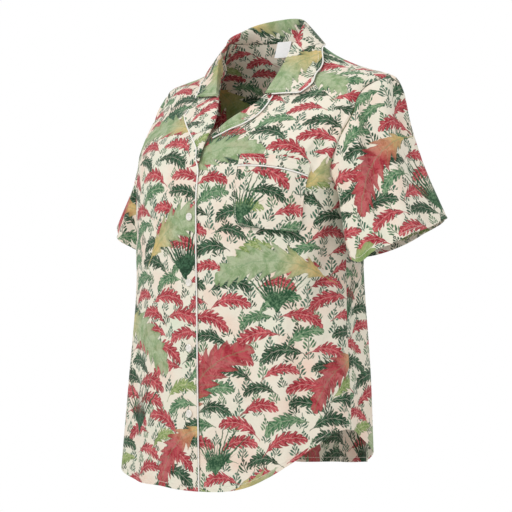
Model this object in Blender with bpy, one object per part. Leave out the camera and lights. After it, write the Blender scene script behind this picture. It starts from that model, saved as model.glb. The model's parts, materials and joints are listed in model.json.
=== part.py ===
"""Short-sleeved pajama top with a notched collar, filled out as if worn, with nobody inside.

Every cut piece is its own closed wall of cloth.  The frame is +Z up with the front facing -Y and
the wearer's left at +X.  The origin is midway between the shoulders, level with the side neck.
"""
import math
from collections import namedtuple

import bmesh
import bpy
import numpy as np

# ---------------------------------------------------------------- driving sizes, in metres
WALL = 0.0016            # cloth with its seam allowances
SEAM_GAP = 0.0004        # between two pieces along a seam
HALF_GAP = SEAM_GAP / 2
LAP_LIFT = 0.0030        # the right front lies this far out over the left one
LAPEL_WALL = 0.0010      # a lapel is a single layer, folded tight at its roll
PIPING_RADIUS = 0.0012
BUTTON_RADIUS = 0.0057
BUTTON_THICKNESS = 0.0024
BUTTON_TOP_Z = -0.259
BUTTON_SPACING = 0.0935
LABEL_WIDTH = 0.026
LABEL_HEIGHT = 0.024
LABEL_CENTRE_X = -0.006
RIGHT_FLARE = 0.009      # how much wider the wearer's right side swings out at the hem
ROUNDNESS = 2.4          # exponent of the torso sections: 2 is an ellipse, more is squarer

ARMHOLE_TOP_Z = -0.055
ARMHOLE_BASE_Z = -0.225
ARMHOLE_STEPS = 12       # rows of cloth from the underarm to the shoulder point
NECK_Z = 0.006           # the side neck and the back neck seam

# ---------------------------------------------------------------- tables, a row for each section
# The hollow torso, from the hem up: half width, depth in front of and behind its own centre.
Section = namedtuple("Section", "z half_width front back centre_y")
TORSO = [
    Section(-0.680, 0.2150, 0.1130, 0.1300, -0.0680),
    Section(-0.580, 0.2050, 0.1200, 0.1270, -0.0620),
    Section(-0.480, 0.1950, 0.1260, 0.1250, -0.0570),
    Section(-0.380, 0.1860, 0.1290, 0.1220, -0.0540),
    Section(-0.280, 0.1834, 0.1300, 0.1220, -0.0530),
    Section(-0.210, 0.1880, 0.1300, 0.1220, -0.0490),
    Section(-0.160, 0.1950, 0.1230, 0.1120, -0.0380),
    Section(-0.115, 0.2000, 0.0950, 0.0920, -0.0220),
    Section(-0.080, 0.2005, 0.0840, 0.0660, 0.0020),
    Section(-0.055, 0.2045, 0.0640, 0.0560, 0.0140),
    Section(-0.040, 0.1510, 0.0450, 0.0510, 0.0160),
    Section(-0.025, 0.1165, 0.0380, 0.0430, 0.0080),
    Section(-0.010, 0.0920, 0.0360, 0.0390, 0.0030),
    Section(0.008, 0.0740, 0.0360, 0.0370, -0.0030),
]

# The armhole: how far forward and how far back of the shoulder line it runs at each height.
Armhole = namedtuple("Armhole", "z front_y back_y")
ARMHOLE = [
    Armhole(-0.225, -0.050, -0.050),
    Armhole(-0.219, -0.070, -0.020),
    Armhole(-0.205, -0.086, 0.004),
    Armhole(-0.178, -0.087, 0.016),
    Armhole(-0.147, -0.076, 0.023),
    Armhole(-0.115, -0.054, 0.027),
    Armhole(-0.085, -0.034, 0.027),
    Armhole(-0.064, -0.009, 0.026),
    Armhole(-0.055, 0.014, 0.014),
]

# The inner edge of each front: the lapped front edge, the roll line and the neck seam.
Edge = namedtuple("Edge", "z x")
LEFT_EDGE = [
    Edge(-0.700, -0.0135), Edge(-0.200, -0.0135), Edge(-0.176, -0.0120), Edge(-0.160, 0.0000),
    Edge(-0.145, 0.0110), Edge(-0.130, 0.0220), Edge(-0.115, 0.0360), Edge(-0.100, 0.0560),
    Edge(-0.085, 0.0640), Edge(-0.055, 0.0730), Edge(-0.025, 0.0770), Edge(0.006, 0.0735),
]
RIGHT_EDGE = [
    Edge(-0.700, 0.0135), Edge(-0.240, 0.0135), Edge(-0.215, 0.0125), Edge(-0.190, 0.0105),
    Edge(-0.165, 0.0095), Edge(-0.147, 0.0070), Edge(-0.128, 0.0010), Edge(-0.110, -0.0100),
    Edge(-0.090, -0.0260), Edge(-0.070, -0.0460), Edge(-0.050, -0.0660), Edge(-0.025, -0.0770),
    Edge(0.006, -0.0735),
]

# The shirt-tail hem, by turn in degrees: 0 is centre front, 90 the wearer's left, 180 centre back.
Hem = namedtuple("Hem", "turn z")
HEM = [
    Hem(-180, -0.627), Hem(-145, -0.617), Hem(-122, -0.604), Hem(-104, -0.586), Hem(-90, -0.576),
    Hem(-70, -0.602), Hem(-50, -0.632), Hem(-30, -0.647), Hem(-14, -0.6475), Hem(0, -0.650),
    Hem(20, -0.643), Hem(35, -0.624), Hem(52, -0.597), Hem(70, -0.570), Hem(90, -0.559),
    Hem(104, -0.580), Hem(122, -0.606), Hem(145, -0.617), Hem(165, -0.622), Hem(180, -0.627),
]

# The collar by its place along the neck seam, 0 at the wearer's right front and 1 at the left:
# where its roll runs, where its outer edge lies on the body, and how full it turns over.
Collar = namedtuple("Collar", "along roll_x roll_y roll_z edge_turn edge_z puff")
COLLAR = [
    Collar(0.00, -0.0360, -0.0890, -0.0790, -19.3, -0.0820, 0.010),
    Collar(0.09, -0.0480, -0.0740, -0.0600, -21.8, -0.0640, 0.012),
    Collar(0.18, -0.0610, -0.0580, -0.0350, -30.0, -0.0500, 0.014),
    Collar(0.26, -0.0700, -0.0400, -0.0100, -52.0, -0.0390, 0.016),
    Collar(0.34, -0.0690, -0.0120, 0.0150, -82.0, -0.0260, 0.018),
    Collar(0.43, -0.0500, 0.0160, 0.0340, -122.0, -0.0160, 0.020),
    Collar(0.52, 0.0000, 0.0320, 0.0415, -180.0, -0.0110, 0.020),
    Collar(0.61, 0.0450, 0.0160, 0.0350, -237.0, -0.0040, 0.010),
    Collar(0.70, 0.0655, -0.0120, 0.0200, -278.0, -0.0125, 0.010),
    Collar(0.78, 0.0730, -0.0400, -0.0060, -305.0, -0.0302, 0.012),
    Collar(0.86, 0.0740, -0.0620, -0.0360, -328.0, -0.0530, 0.016),
    Collar(0.94, 0.0680, -0.0780, -0.0610, -326.5, -0.0727, 0.014),
    Collar(1.00, 0.0610, -0.0888, -0.0800, -328.0, -0.0836, 0.010),
]
COLLAR_FROM_Z = -0.0820  # where the neck seam starts on the right front
COLLAR_TO_Z = -0.0805    # and where it ends on the left front

# Each lapel's outer edge by its place along the roll line, 0 where it breaks, 1 at the gorge.
Lapel = namedtuple("Lapel", "along x z")
RIGHT_LAPEL = [
    Lapel(0.00, 0.0060, -0.1800), Lapel(0.20, 0.0020, -0.1650), Lapel(0.40, -0.0130, -0.1520),
    Lapel(0.60, -0.0380, -0.1360), Lapel(0.78, -0.0600, -0.1220), Lapel(0.92, -0.0740, -0.1110),
    Lapel(1.00, -0.0760, -0.1020),
]
LEFT_LAPEL = [
    Lapel(0.00, 0.0150, -0.1460), Lapel(0.20, 0.0330, -0.1360), Lapel(0.45, 0.0540, -0.1270),
    Lapel(0.65, 0.0670, -0.1160), Lapel(0.80, 0.0720, -0.1060), Lapel(0.92, 0.0735, -0.0960),
    Lapel(1.00, 0.0730, -0.0880),
]
RIGHT_ROLL_Z = (-0.180, -0.0875)   # the roll line's two ends on each front
LEFT_ROLL_Z = (-0.1435, -0.0865)
# A lapel's fold: how far each line of cloth hangs past the panel's edge, and how high it lies.
Fold = namedtuple("Fold", "past_edge lift")
LAPEL_FOLD = [Fold(0.0012, 0.0005), Fold(0.0031, 0.0022), Fold(0.0027, 0.0046), Fold(0.0004, 0.0062)]
# The rest of the lapel: how far over from the fold to the outer edge, and how high it lies.
Lie = namedtuple("Lie", "share lift")
LAPEL_LIE = [Lie(0.25, 0.0060), Lie(0.50, 0.0050), Lie(0.75, 0.0040), Lie(1.00, 0.0032)]
LEAST_LIFT = 0.0022      # cloth that lies on cloth: its own wall and a little air

# The pocket, from its top edge down: its inner and outer ends on the left front.
Pocket = namedtuple("Pocket", "inner_turn inner_z outer_turn outer_z sag")
POCKET_BAND = [
    Pocket(20.7, -0.1720, 60.5, -0.1870, 0.004), Pocket(20.8, -0.1865, 61.0, -0.2020, 0.004),
]
POCKET_BODY = [
    Pocket(20.9, -0.1900, 61.1, -0.2055, 0.004), Pocket(21.2, -0.2140, 60.7, -0.2220, 0.003),
    Pocket(21.5, -0.2380, 60.2, -0.2420, 0.002), Pocket(22.0, -0.2620, 59.7, -0.2680, 0.001),
    Pocket(27.0, -0.2740, 56.5, -0.2810, 0.000),
]


# ---------------------------------------------------------------- reading tables and curves
def read(table, name, at):
    """One column of a table, read smoothly between its rows; the first column is the key."""
    keys = np.array([row[0] for row in table], dtype=float)
    values = np.array([getattr(row, name) for row in table], dtype=float)
    slopes = np.gradient(values, keys)
    at = np.clip(np.asarray(at, dtype=float), keys[0], keys[-1])
    row = np.clip(np.searchsorted(keys, at, side="right") - 1, 0, len(keys) - 2)
    span = keys[row + 1] - keys[row]
    t = (at - keys[row]) / span
    rise = values[row] * (1 + 2 * t) * (1 - t) ** 2 + values[row + 1] * t * t * (3 - 2 * t)
    return rise + span * t * (1 - t) * (slopes[row] * (1 - t) - slopes[row + 1] * t)


def hermite(start, start_pull, end, end_pull, t):
    """A point on the curve from start to end that leaves and arrives along the two pulls."""
    rise = start * ((1 + 2 * t) * (1 - t) ** 2) + end * (t * t * (3 - 2 * t))
    return rise + start_pull * (t * (1 - t) ** 2) - end_pull * (t * t * (1 - t))


def ease(value, low, high):
    """0 below low, 1 above high and smooth between."""
    t = np.clip((value - low) / (high - low), 0.0, 1.0)
    return t * t * (3 - 2 * t)


def unit(vector):
    """The vector, or each of an array of vectors, at length one."""
    return vector / np.maximum(np.linalg.norm(vector, axis=-1, keepdims=True), 1e-12)


# ---------------------------------------------------------------- the body's hollow form
def torso_point(turn, z):
    """The outer face of the body cloth at a turn in degrees and a height."""
    turn, z = np.broadcast_arrays(np.radians(turn), z)
    side, ahead = np.sin(turn), np.cos(turn)
    power = 2 / ROUNDNESS
    depth = np.where(ahead > 0, read(TORSO, "front", z), read(TORSO, "back", z))
    x = read(TORSO, "half_width", z) * np.sign(side) * np.abs(side) ** power
    x = x - RIGHT_FLARE * ease(-x, 0.08, 0.19) * (1 - ease(z, -0.66, -0.44))
    y = read(TORSO, "centre_y", z) - depth * np.sign(ahead) * np.abs(ahead) ** power
    return np.stack([x, y, z], axis=-1)


def torso_normal(turn, z):
    """The outward normal of the body form."""
    across = torso_point(turn + 0.5, z) - torso_point(turn - 0.5, z)
    up = torso_point(turn, np.asarray(z) + 0.001) - torso_point(turn, np.asarray(z) - 0.001)
    return unit(np.cross(across, up))


def on_body(turn, z, lift):
    """A point that lies this far out over the body cloth."""
    return torso_point(turn, z) + torso_normal(turn, z) * np.asarray(lift)[..., None]


def turn_at_width(x, z):
    """The turn, on the front half, whose point has this x."""
    share = np.clip(np.abs(x) / read(TORSO, "half_width", z), 0, 1) ** (ROUNDNESS / 2)
    return np.sign(x) * np.degrees(np.arcsin(share))


def turn_of(x, y, z):
    """The turn of the body form's point that lies nearest to this direction from its centre."""
    ahead = read(TORSO, "centre_y", z) - y
    depth = np.where(ahead > 0, read(TORSO, "front", z), read(TORSO, "back", z))
    side = np.sign(x) * (np.abs(x) / read(TORSO, "half_width", z)) ** (ROUNDNESS / 2)
    return np.degrees(np.arctan2(side, np.sign(ahead) * (np.abs(ahead) / depth) ** (ROUNDNESS / 2)))


def armhole_turn(z, column):
    """The turn of the armhole edge at a height, on the front half or on the back half."""
    ahead = read(TORSO, "centre_y", z) - read(ARMHOLE, column, z)
    depth = read(TORSO, "front" if column == "front_y" else "back", z)
    share = np.clip(np.abs(ahead) / depth, 0, 1) ** (ROUNDNESS / 2)
    return 90 - np.sign(ahead) * np.degrees(np.arcsin(share))


# ---------------------------------------------------------------- cloth walls
def grid_normals(points, around=False):
    """Outward normals of a grid of points whose columns run along +turn and rows run up."""
    if around:
        across = np.roll(points, -1, axis=1) - np.roll(points, 1, axis=1)
    else:
        across = np.gradient(points, axis=1)
    return unit(np.cross(across, np.gradient(points, axis=0)))


def drawn_in(points, around=False):
    """The grid with its open borders drawn in by half a seam gap."""
    moved = points.copy()
    moved[0] += unit(points[1] - points[0]) * HALF_GAP
    moved[-1] += unit(points[-2] - points[-1]) * HALF_GAP
    if not around:
        moved[:, 0] += unit(points[:, 1] - points[:, 0]) * HALF_GAP
        moved[:, -1] += unit(points[:, -2] - points[:, -1]) * HALF_GAP
    return moved


def make_object(name, material, mesh_builder):
    """A named object whose mesh is filled by the builder and faces out."""
    shape = bmesh.new()
    mesh_builder(shape)
    bmesh.ops.recalc_face_normals(shape, faces=shape.faces)
    mesh = bpy.data.meshes.new(name)
    shape.to_mesh(mesh)
    shape.free()
    mesh.shade_smooth()
    mesh.set_sharp_from_angle(angle=math.radians(45))
    mesh.materials.append(material)
    made = bpy.data.objects.new(name, mesh)
    bpy.context.scene.collection.objects.link(made)
    return made


def cloth_wall(name, points, material, around=False, wall=WALL):
    """One piece of cloth: the grid is its outer face, and the inner face lies a wall behind."""
    inner = points - grid_normals(points, around) * wall
    rows, columns = points.shape[:2]

    def build(shape):
        faces = [[[shape.verts.new(p) for p in row] for row in face] for face in (points, inner)]
        last = columns if around else columns - 1
        for face in faces:
            for r in range(rows - 1):
                for c in range(last):
                    d = (c + 1) % columns
                    shape.faces.new((face[r][c], face[r][d], face[r + 1][d], face[r + 1][c]))
        outer_face, inner_face = faces
        for r in (0, rows - 1):
            for c in range(last):
                d = (c + 1) % columns
                shape.faces.new((outer_face[r][c], inner_face[r][c], inner_face[r][d], outer_face[r][d]))
        if not around:
            for c in (0, columns - 1):
                for r in range(rows - 1):
                    shape.faces.new((outer_face[r][c], outer_face[r + 1][c],
                                     inner_face[r + 1][c], inner_face[r][c]))

    return make_object(name, material, build)


def piping(name, path, material, sides=6):
    """A thin closed tube along a list of points."""
    path = np.asarray(path)
    along = unit(np.gradient(path, axis=0))
    first = unit(np.cross(along, np.array([0.31, 0.52, 0.79])))
    second = np.cross(along, first)

    def build(shape):
        rings = []
        for centre, one, two in zip(path, first, second):
            angles = [2 * math.pi * k / sides for k in range(sides)]
            rings.append([shape.verts.new(centre + PIPING_RADIUS * (one * math.cos(a) + two * math.sin(a)))
                          for a in angles])
        for ring, after in zip(rings, rings[1:]):
            for k in range(sides):
                n = (k + 1) % sides
                shape.faces.new((ring[k], ring[n], after[n], after[k]))
        shape.faces.new(rings[0])
        shape.faces.new(rings[-1])

    return make_object(name, material, build)


def spaced(points, count):
    """Points at even steps along a path, with anything that rides on each point."""
    length = np.concatenate([[0], np.cumsum(np.linalg.norm(np.diff(points[:, :3], axis=0), axis=1))])
    wanted = np.linspace(0, length[-1], count)
    return np.stack([np.interp(wanted, length, points[:, k]) for k in range(points.shape[1])], axis=1)


def past_border(border, inside, normals):
    """Piping centres just past a cloth border, level with the middle of its wall."""
    return border + unit(border - inside) * (PIPING_RADIUS + SEAM_GAP) - unit(normals) * (WALL / 2)


def past_corner(points, normals, row, column):
    """The piping centre that rounds a corner of a piece of cloth."""
    inner_row, inner_column = (1 if row == 0 else -2), (1 if column == 0 else -2)
    corner = points[row, column]
    off_row = past_border(corner, points[inner_row, column], normals[row, column])
    off_column = past_border(corner, points[row, inner_column], normals[row, column])
    return (off_row + off_column - corner + unit(normals[row, column]) * (WALL / 2))[None]


# ---------------------------------------------------------------- the panels
BODY_STEPS = 7           # rows of cloth from the hem to the underarm
SHOULDER_STEPS = 6       # rows from the shoulder point to the side neck
FRONT_COLUMNS = 10
BACK_COLUMNS = 17


def armhole_heights():
    """Heights round the armhole, close together where its edge runs level."""
    middle, half = (ARMHOLE_TOP_Z + ARMHOLE_BASE_Z) / 2, (ARMHOLE_TOP_Z - ARMHOLE_BASE_Z) / 2
    return middle - half * np.cos(np.linspace(0, math.pi, ARMHOLE_STEPS + 1))


def upper_heights():
    """The armhole's heights and then the shoulder seam's, going up."""
    shoulder = np.linspace(ARMHOLE_TOP_Z, NECK_Z, SHOULDER_STEPS + 1)[1:]
    return np.concatenate([armhole_heights(), shoulder])


def panel_rows(first_turns, last_turns, columns):
    """Turns and heights of a panel's points, given its two side edges as functions of height."""
    turns, heights = [], []
    for share in np.linspace(0, 1, BODY_STEPS + 1)[:-1]:
        low = ARMHOLE_BASE_Z - 0.2 * (1 - share)
        turn = np.linspace(first_turns(low), last_turns(low), columns)
        hem = read(HEM, "z", np.where(turn > 180, turn - 360, turn))
        turns.append(turn)
        heights.append(hem * (1 - share) + ARMHOLE_BASE_Z * share)
    for z in upper_heights():
        turns.append(np.linspace(first_turns(z), last_turns(z), columns))
        heights.append(np.full(columns, z))
    return np.array(turns), np.array(heights)


def outer_edge(z, column):
    """The turn of the side seam, the armhole or the shoulder seam at a height."""
    if ARMHOLE_BASE_Z < z < ARMHOLE_TOP_Z:
        return armhole_turn(z, column)
    return 90.0


def lap_lift(turn, z):
    """How far out the right front lies, to pass over the left one."""
    return LAP_LIFT * ease(turn, -45, -8) * (1 - ease(z, -0.130, -0.050))


def right_lap(turn, z):
    """The same lift, but only on the wearer's right, where turns are below zero."""
    return np.where((turn < 0) & (turn > -90), lap_lift(turn, z), 0.0)


def front_left_grid():
    turns, heights = panel_rows(lambda z: turn_at_width(read(LEFT_EDGE, "x", z), z),
                                lambda z: outer_edge(z, "front_y"), FRONT_COLUMNS)
    return drawn_in(torso_point(turns, heights))


def front_right_grid():
    turns, heights = panel_rows(lambda z: -outer_edge(z, "front_y"),
                                lambda z: turn_at_width(read(RIGHT_EDGE, "x", z), z), FRONT_COLUMNS)
    return drawn_in(on_body(turns, heights, lap_lift(turns, heights)))


def back_grid():
    turns, heights = panel_rows(lambda z: outer_edge(z, "back_y"),
                                lambda z: 360 - outer_edge(z, "back_y"), BACK_COLUMNS)
    return drawn_in(torso_point(turns, heights))


# ---------------------------------------------------------------- the sleeves
SLEEVE_ROWS = 9
UNDERARM_PULL = 0.050
UNDERARM_DROP = 0.070
SIDE_PULL = 0.025
CUFF_PULL = np.array([0.052, 0.001, -0.144])
CUFF_FLARE = 0.058       # how much more its outer side swings out
CUFF_SAG = 0.0086        # how far a cuff dips between its outer-back and its inner-front ends
FRONT_SAG = 0.35         # the share of that dip left along the front of the left cuff
CORNER_REACH = np.array([-0.002, -0.013, 0.0])   # the left cuff's front corner hangs forward
CORNER_DROP = 0.0100     # and down
# Each cuff's centre, how far its outer point and its back point lie from that centre, and how far
# the sleeve's cap stands out over the shoulder and up from it.
Sleeve = namedtuple("Sleeve", "centre outer back cap_pull cap_rise")
SLEEVES = {
    1: Sleeve((0.2486, -0.0060, -0.2891), (0.0470, 0.0000, 0.0183), (0.0000, 0.0846, 0.0215), 0.062, 0.050),
    -1: Sleeve((0.2330, -0.0060, -0.2724), (0.0470, 0.0000, 0.0215), (0.0000, 0.0846, 0.0190), 0.062, 0.022),
}


def sleeve_grid(side):
    """A tube from the cuff up to the armhole; its columns start at the top of the cap."""
    heights = armhole_heights()
    back = [torso_point(armhole_turn(z, "back_y"), z) for z in heights[::-1]]
    front = [torso_point(armhole_turn(z, "front_y"), z) for z in heights[1:-1]]
    armhole = np.array(back + front)
    round_it = np.linspace(0, 2 * math.pi, len(armhole), endpoint=False)
    top, rear = np.cos(round_it)[:, None], np.sin(round_it)[:, None]
    high = (1 + top) / 2
    centre, outer, behind = (np.array(row) for row in SLEEVES[side][:3])
    cap_pull, cap_rise = SLEEVES[side][3:]
    cuff = centre + outer * top + behind * rear
    across = np.sin(round_it - side * math.radians(58))
    if side > 0:
        turn = np.degrees(round_it)
        cuff[:, 2] -= CUFF_SAG * across ** 2 * np.where(across < 0, FRONT_SAG, 1.0)
        cuff += CORNER_REACH * np.exp(-((turn - 248) / 36) ** 2)[:, None]
        cuff[:, 2] -= CORNER_DROP * np.exp(-((turn - 266) / 20) ** 2)
    else:
        cuff[:, 2] -= CUFF_SAG * across ** 2
    leave = (np.array([1, 0, 0]) * (UNDERARM_PULL + (cap_pull - UNDERARM_PULL) * high)
             + np.array([0, SIDE_PULL, 0]) * rear
             + np.array([0, 0, 1]) * (cap_rise * high - UNDERARM_DROP * (1 - high)))
    arrive = CUFF_PULL + np.array([CUFF_FLARE, 0, 0]) * high
    rows = [hermite(armhole, leave, cuff, arrive, t) for t in np.linspace(1, 0, SLEEVE_ROWS)]
    points = np.array(rows)
    if side < 0:
        points = points[:, ::-1] * np.array([-1, 1, 1])
    return drawn_in(points, around=True)


# ---------------------------------------------------------------- collar and lapels
COLLAR_STATIONS = 27
FALL_SHARES = (1.0, 0.8, 0.6, 0.42, 0.26, 0.12)   # from the outer edge up to the roll
STAND_SHARES = (1.0, 0.85, 0.6, 0.3, 0.0)         # from the roll down to the neck seam
LAPEL_STATIONS = 9


def border_between(points, column, low, high):
    """A panel's edge column between two heights, going up: each point with its normal."""
    both = np.concatenate([points[:, column], grid_normals(points)[:, column]], axis=1)
    heights = both[:, 2]
    wanted = np.concatenate([[low], heights[(heights > low + 0.002) & (heights < high - 0.002)], [high]])
    return np.stack([np.interp(wanted, heights, both[:, k]) for k in range(6)], axis=1)


def neck_seam(left, right, back):
    """The neck edge from the right front round the back to the left front, with its normals."""
    right_part = border_between(right, -1, COLLAR_FROM_Z, NECK_Z - 0.001)
    left_part = border_between(left, 0, COLLAR_TO_Z, NECK_Z - 0.001)[::-1]
    back_part = np.concatenate([back[-1], grid_normals(back)[-1]], axis=1)[::-1]
    return np.concatenate([right_part, back_part, left_part])


def clear_of_body(points, lift):
    """Points pushed out until they lie at least this far off the body form, where it is below."""
    for _ in range(3):
        z = np.minimum(points[:, 2], NECK_Z)
        turn = turn_of(points[:, 0], points[:, 1], z)
        normal = torso_normal(turn, z)
        off = np.sum((points - torso_point(turn, z)) * normal, axis=1)
        points = points + normal * np.clip(lift + right_lap(turn, z) - off, 0, 0.02)[:, None]
    return points


def collar_grid(left, right, back):
    """Fall, roll and stand in one piece; rows go from the outer edge up and over to the seam."""
    seam = spaced(neck_seam(left, right, back), COLLAR_STATIONS)
    along = np.linspace(0, 1, COLLAR_STATIONS)
    base = seam[:, :3] + unit(seam[:, 3:]) * 0.0025
    roll = np.stack([read(COLLAR, name, along) for name in ("roll_x", "roll_y", "roll_z")], axis=1)
    edge_turn, edge_z = read(COLLAR, "edge_turn", along), read(COLLAR, "edge_z", along)
    lift = 0.0048 + right_lap(edge_turn, edge_z)
    edge = on_body(edge_turn, edge_z, lift)
    outward = unit((edge - roll) * np.array([1, 1, 0]))
    puff = outward * read(COLLAR, "puff", along)[:, None]
    stand_height = np.linalg.norm(roll - base, axis=1)[:, None]
    rows = [clear_of_body(hermite(roll, puff, edge, edge - roll, t), 0.0048) for t in FALL_SHARES]
    rows += [hermite(base, roll - base, roll, outward * stand_height * 0.5, t) for t in STAND_SHARES]
    return np.array(rows)[:, ::-1]


def lapel_grid(panel, column, inside_column, roll_z, table, lifts):
    """A turned-out facing; rows go up the roll line, columns from the fold to the outer edge."""
    border = spaced(border_between(panel, column, *roll_z), LAPEL_STATIONS)
    inside = spaced(border_between(panel, inside_column, *roll_z), LAPEL_STATIONS)
    along = np.linspace(0, 1, LAPEL_STATIONS)
    point, normal = border[:, :3], unit(border[:, 3:])
    off_edge = unit(point - inside[:, :3])
    grown = (0.55 + 0.45 * ease(along, 0.0, 0.35))[:, None]
    lines = [point + off_edge * fold.past_edge + normal * fold.lift * grown for fold in LAPEL_FOLD]
    start_turn, start_z = turn_at_width(point[:, 0], point[:, 2]), point[:, 2]
    end_x, end_z = read(table, "x", along), read(table, "z", along)
    end_turn = turn_at_width(end_x, end_z)
    for lie in LAPEL_LIE:
        turn = start_turn + (end_turn - start_turn) * lie.share
        z = start_z + (end_z - start_z) * lie.share
        lift = np.maximum(lie.lift * grown[:, 0], LEAST_LIFT)
        lines.append(on_body(turn, z, lift + lifts(turn, z)))
    return np.stack(lines, axis=1)


# ---------------------------------------------------------------- trims
def collar_piping(collar):
    """Round the collar's outer edge, and along its left front edge to the notch."""
    normals = grid_normals(collar)
    parts = [
        past_border(collar[4:0:-1, 0], collar[4:0:-1, 1], normals[4:0:-1, 0]),
        past_corner(collar, normals, 0, 0),
        past_border(collar[0, 1:-1], collar[1, 1:-1], normals[0, 1:-1]),
        past_corner(collar, normals, 0, -1),
    ]
    return np.concatenate(parts)


def lapel_piping(lapel, outer):
    """From near the lapel's top corner down its outer edge; outer is that edge's column."""
    normals = grid_normals(lapel)
    inner = 1 if outer == 0 else -2
    parts = [
        past_border(lapel[-1, inner], lapel[-2, inner], normals[-1, inner])[None],
        past_corner(lapel, normals, -1, outer),
        past_border(lapel[-2::-1, outer], lapel[-2::-1, inner], normals[-2::-1, outer]),
    ]
    return np.concatenate(parts)


def front_edge_piping(right):
    """From under the lapel down the right front's edge to the hem."""
    border = border_between(right, -1, right[0, -1, 2], RIGHT_ROLL_Z[0] - 0.006)[::-1]
    inside = border_between(right, -2, right[0, -2, 2], RIGHT_ROLL_Z[0] - 0.006)[::-1]
    path = past_border(border[:, :3], inside[:, :3], border[:, 3:])
    path[0] += unit(border[0, 3:]) * LEAST_LIFT
    return path


def patch_grid(table, columns, lift, belly):
    """A patch on the left front from a pocket table, standing out a little in its middle."""
    share = np.linspace(0, 1, columns)
    arch = 4 * share * (1 - share)
    rows = []
    for row in reversed(table):
        turn = row.inner_turn + (row.outer_turn - row.inner_turn) * share
        z = row.inner_z + (row.outer_z - row.inner_z) * share + row.sag * arch
        rows.append(on_body(turn, z, lift + belly * arch))
    return np.array(rows)


def button(name, z, material):
    """A shallow dished disc that stands on the right front, on the centre line."""
    turn = float(turn_at_width(0.0040, z))
    profile = [(0.0, 0.0), (0.95, 0.0), (1.0, 0.6), (0.85, 1.0), (0.60, 0.65), (0.0, 0.60)]

    def build(shape):
        verts = [shape.verts.new((BUTTON_RADIUS * r, 0, BUTTON_THICKNESS * h)) for r, h in profile]
        edges = [shape.edges.new(pair) for pair in zip(verts, verts[1:])]
        bmesh.ops.spin(shape, geom=verts + edges, cent=(0, 0, 0), axis=(0, 0, 1),
                       angle=2 * math.pi, steps=12, use_merge=True)
        bmesh.ops.remove_doubles(shape, verts=shape.verts, dist=1e-6)

    made = make_object(name, material, build)
    place = on_body(turn, z, LAP_LIFT + SEAM_GAP)
    normal = torso_normal(turn, z)
    made.rotation_euler = (math.pi / 2 - math.asin(normal[2]) , 0, math.atan2(normal[0], -normal[1]))
    made.location = place
    return made


def label_grid():
    """A small blank label that hangs forward from the back neck seam."""
    turns = np.linspace(180 - 8, 180 + 20, 4)
    top = torso_point(turns, NECK_Z) + np.array([0, -0.0021, 0.0018])
    top[:, 0] = LABEL_CENTRE_X + LABEL_WIDTH * np.linspace(0.5, -0.5, 4)
    rows = [top + np.array([-0.002, -0.004, -LABEL_HEIGHT]) * drop for drop in (1.0, 0.66, 0.33, 0.0)]
    return np.array(rows)[:, ::-1]


def make_material(name, colour, roughness):
    """A plain Principled finish."""
    made = bpy.data.materials.new(name)
    made.use_nodes = True
    surface = made.node_tree.nodes["Principled BSDF"]
    surface.inputs["Base Color"].default_value = (*colour, 1)
    surface.inputs["Roughness"].default_value = roughness
    return made


# ---------------------------------------------------------------- building
def build():
    for old in list(bpy.data.objects):
        bpy.data.objects.remove(old, do_unlink=True)
    cloth = make_material("printed_cotton", (0.80, 0.74, 0.63), 0.85)
    facing = make_material("printed_cotton_trim", (0.72, 0.62, 0.55), 0.85)
    cord = make_material("white_piping", (0.92, 0.91, 0.88), 0.6)
    shell = make_material("pearl_button", (0.90, 0.89, 0.85), 0.2)
    tape = make_material("label_tape", (0.93, 0.93, 0.93), 0.7)

    left, right, back = front_left_grid(), front_right_grid(), back_grid()
    cloth_wall("front_left", left, cloth)
    cloth_wall("front_right", right, cloth)
    cloth_wall("back", back, cloth)
    cloth_wall("sleeve_left", sleeve_grid(1), cloth, around=True)
    cloth_wall("sleeve_right", sleeve_grid(-1), cloth, around=True)

    collar = collar_grid(left, right, back)
    cloth_wall("collar", collar, facing)
    lapel_left = lapel_grid(left, 0, 1, LEFT_ROLL_Z, LEFT_LAPEL, lambda turn, z: 0.0)
    lapel_right = lapel_grid(right, -1, -2, RIGHT_ROLL_Z, RIGHT_LAPEL, lap_lift)[:, ::-1]
    cloth_wall("lapel_left", lapel_left, facing, wall=LAPEL_WALL)
    cloth_wall("lapel_right", lapel_right, facing, wall=LAPEL_WALL)

    band = patch_grid(POCKET_BAND, 8, 0.0026, 0.0006)
    body = patch_grid(POCKET_BODY, 8, 0.0026, 0.0020)
    cloth_wall("pocket_band", band, facing)
    cloth_wall("pocket", body, cloth)

    piping("piping_collar", collar_piping(collar), cord)
    piping("piping_left", lapel_piping(lapel_left, -1), cord)
    path = np.concatenate([lapel_piping(lapel_right, 0), front_edge_piping(right)])
    piping("piping_right", path, cord)

    seam = (band[0] + body[-1]) / 2 - grid_normals(band)[0] * (WALL / 2)
    piping("piping_pocket", spaced(seam, 12), cord)

    for number in range(4):
        button(f"button_{number + 1}", BUTTON_TOP_Z - BUTTON_SPACING * number, shell)
    cloth_wall("neck_label", label_grid(), tape, wall=0.0010)


build()
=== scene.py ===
# %% [markdown]
# # A short-sleeved pajama top, filled out as if worn, with nobody inside
#
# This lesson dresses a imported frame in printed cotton.  The frame gives every maker's piece its
# place in metres: +Z is up, the front faces -Y, the wearer's left is at +X, and the origin lies
# midway between the shoulders.  Each piece of cloth is drawn again here with far finer threads,
# soft folds, turned edges and a print that follows the cut of the cloth.

# %% Load the frame
import json
import math
from collections import namedtuple

import bmesh
import bpy
import numpy as np
from mathutils import Matrix, Vector

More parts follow.
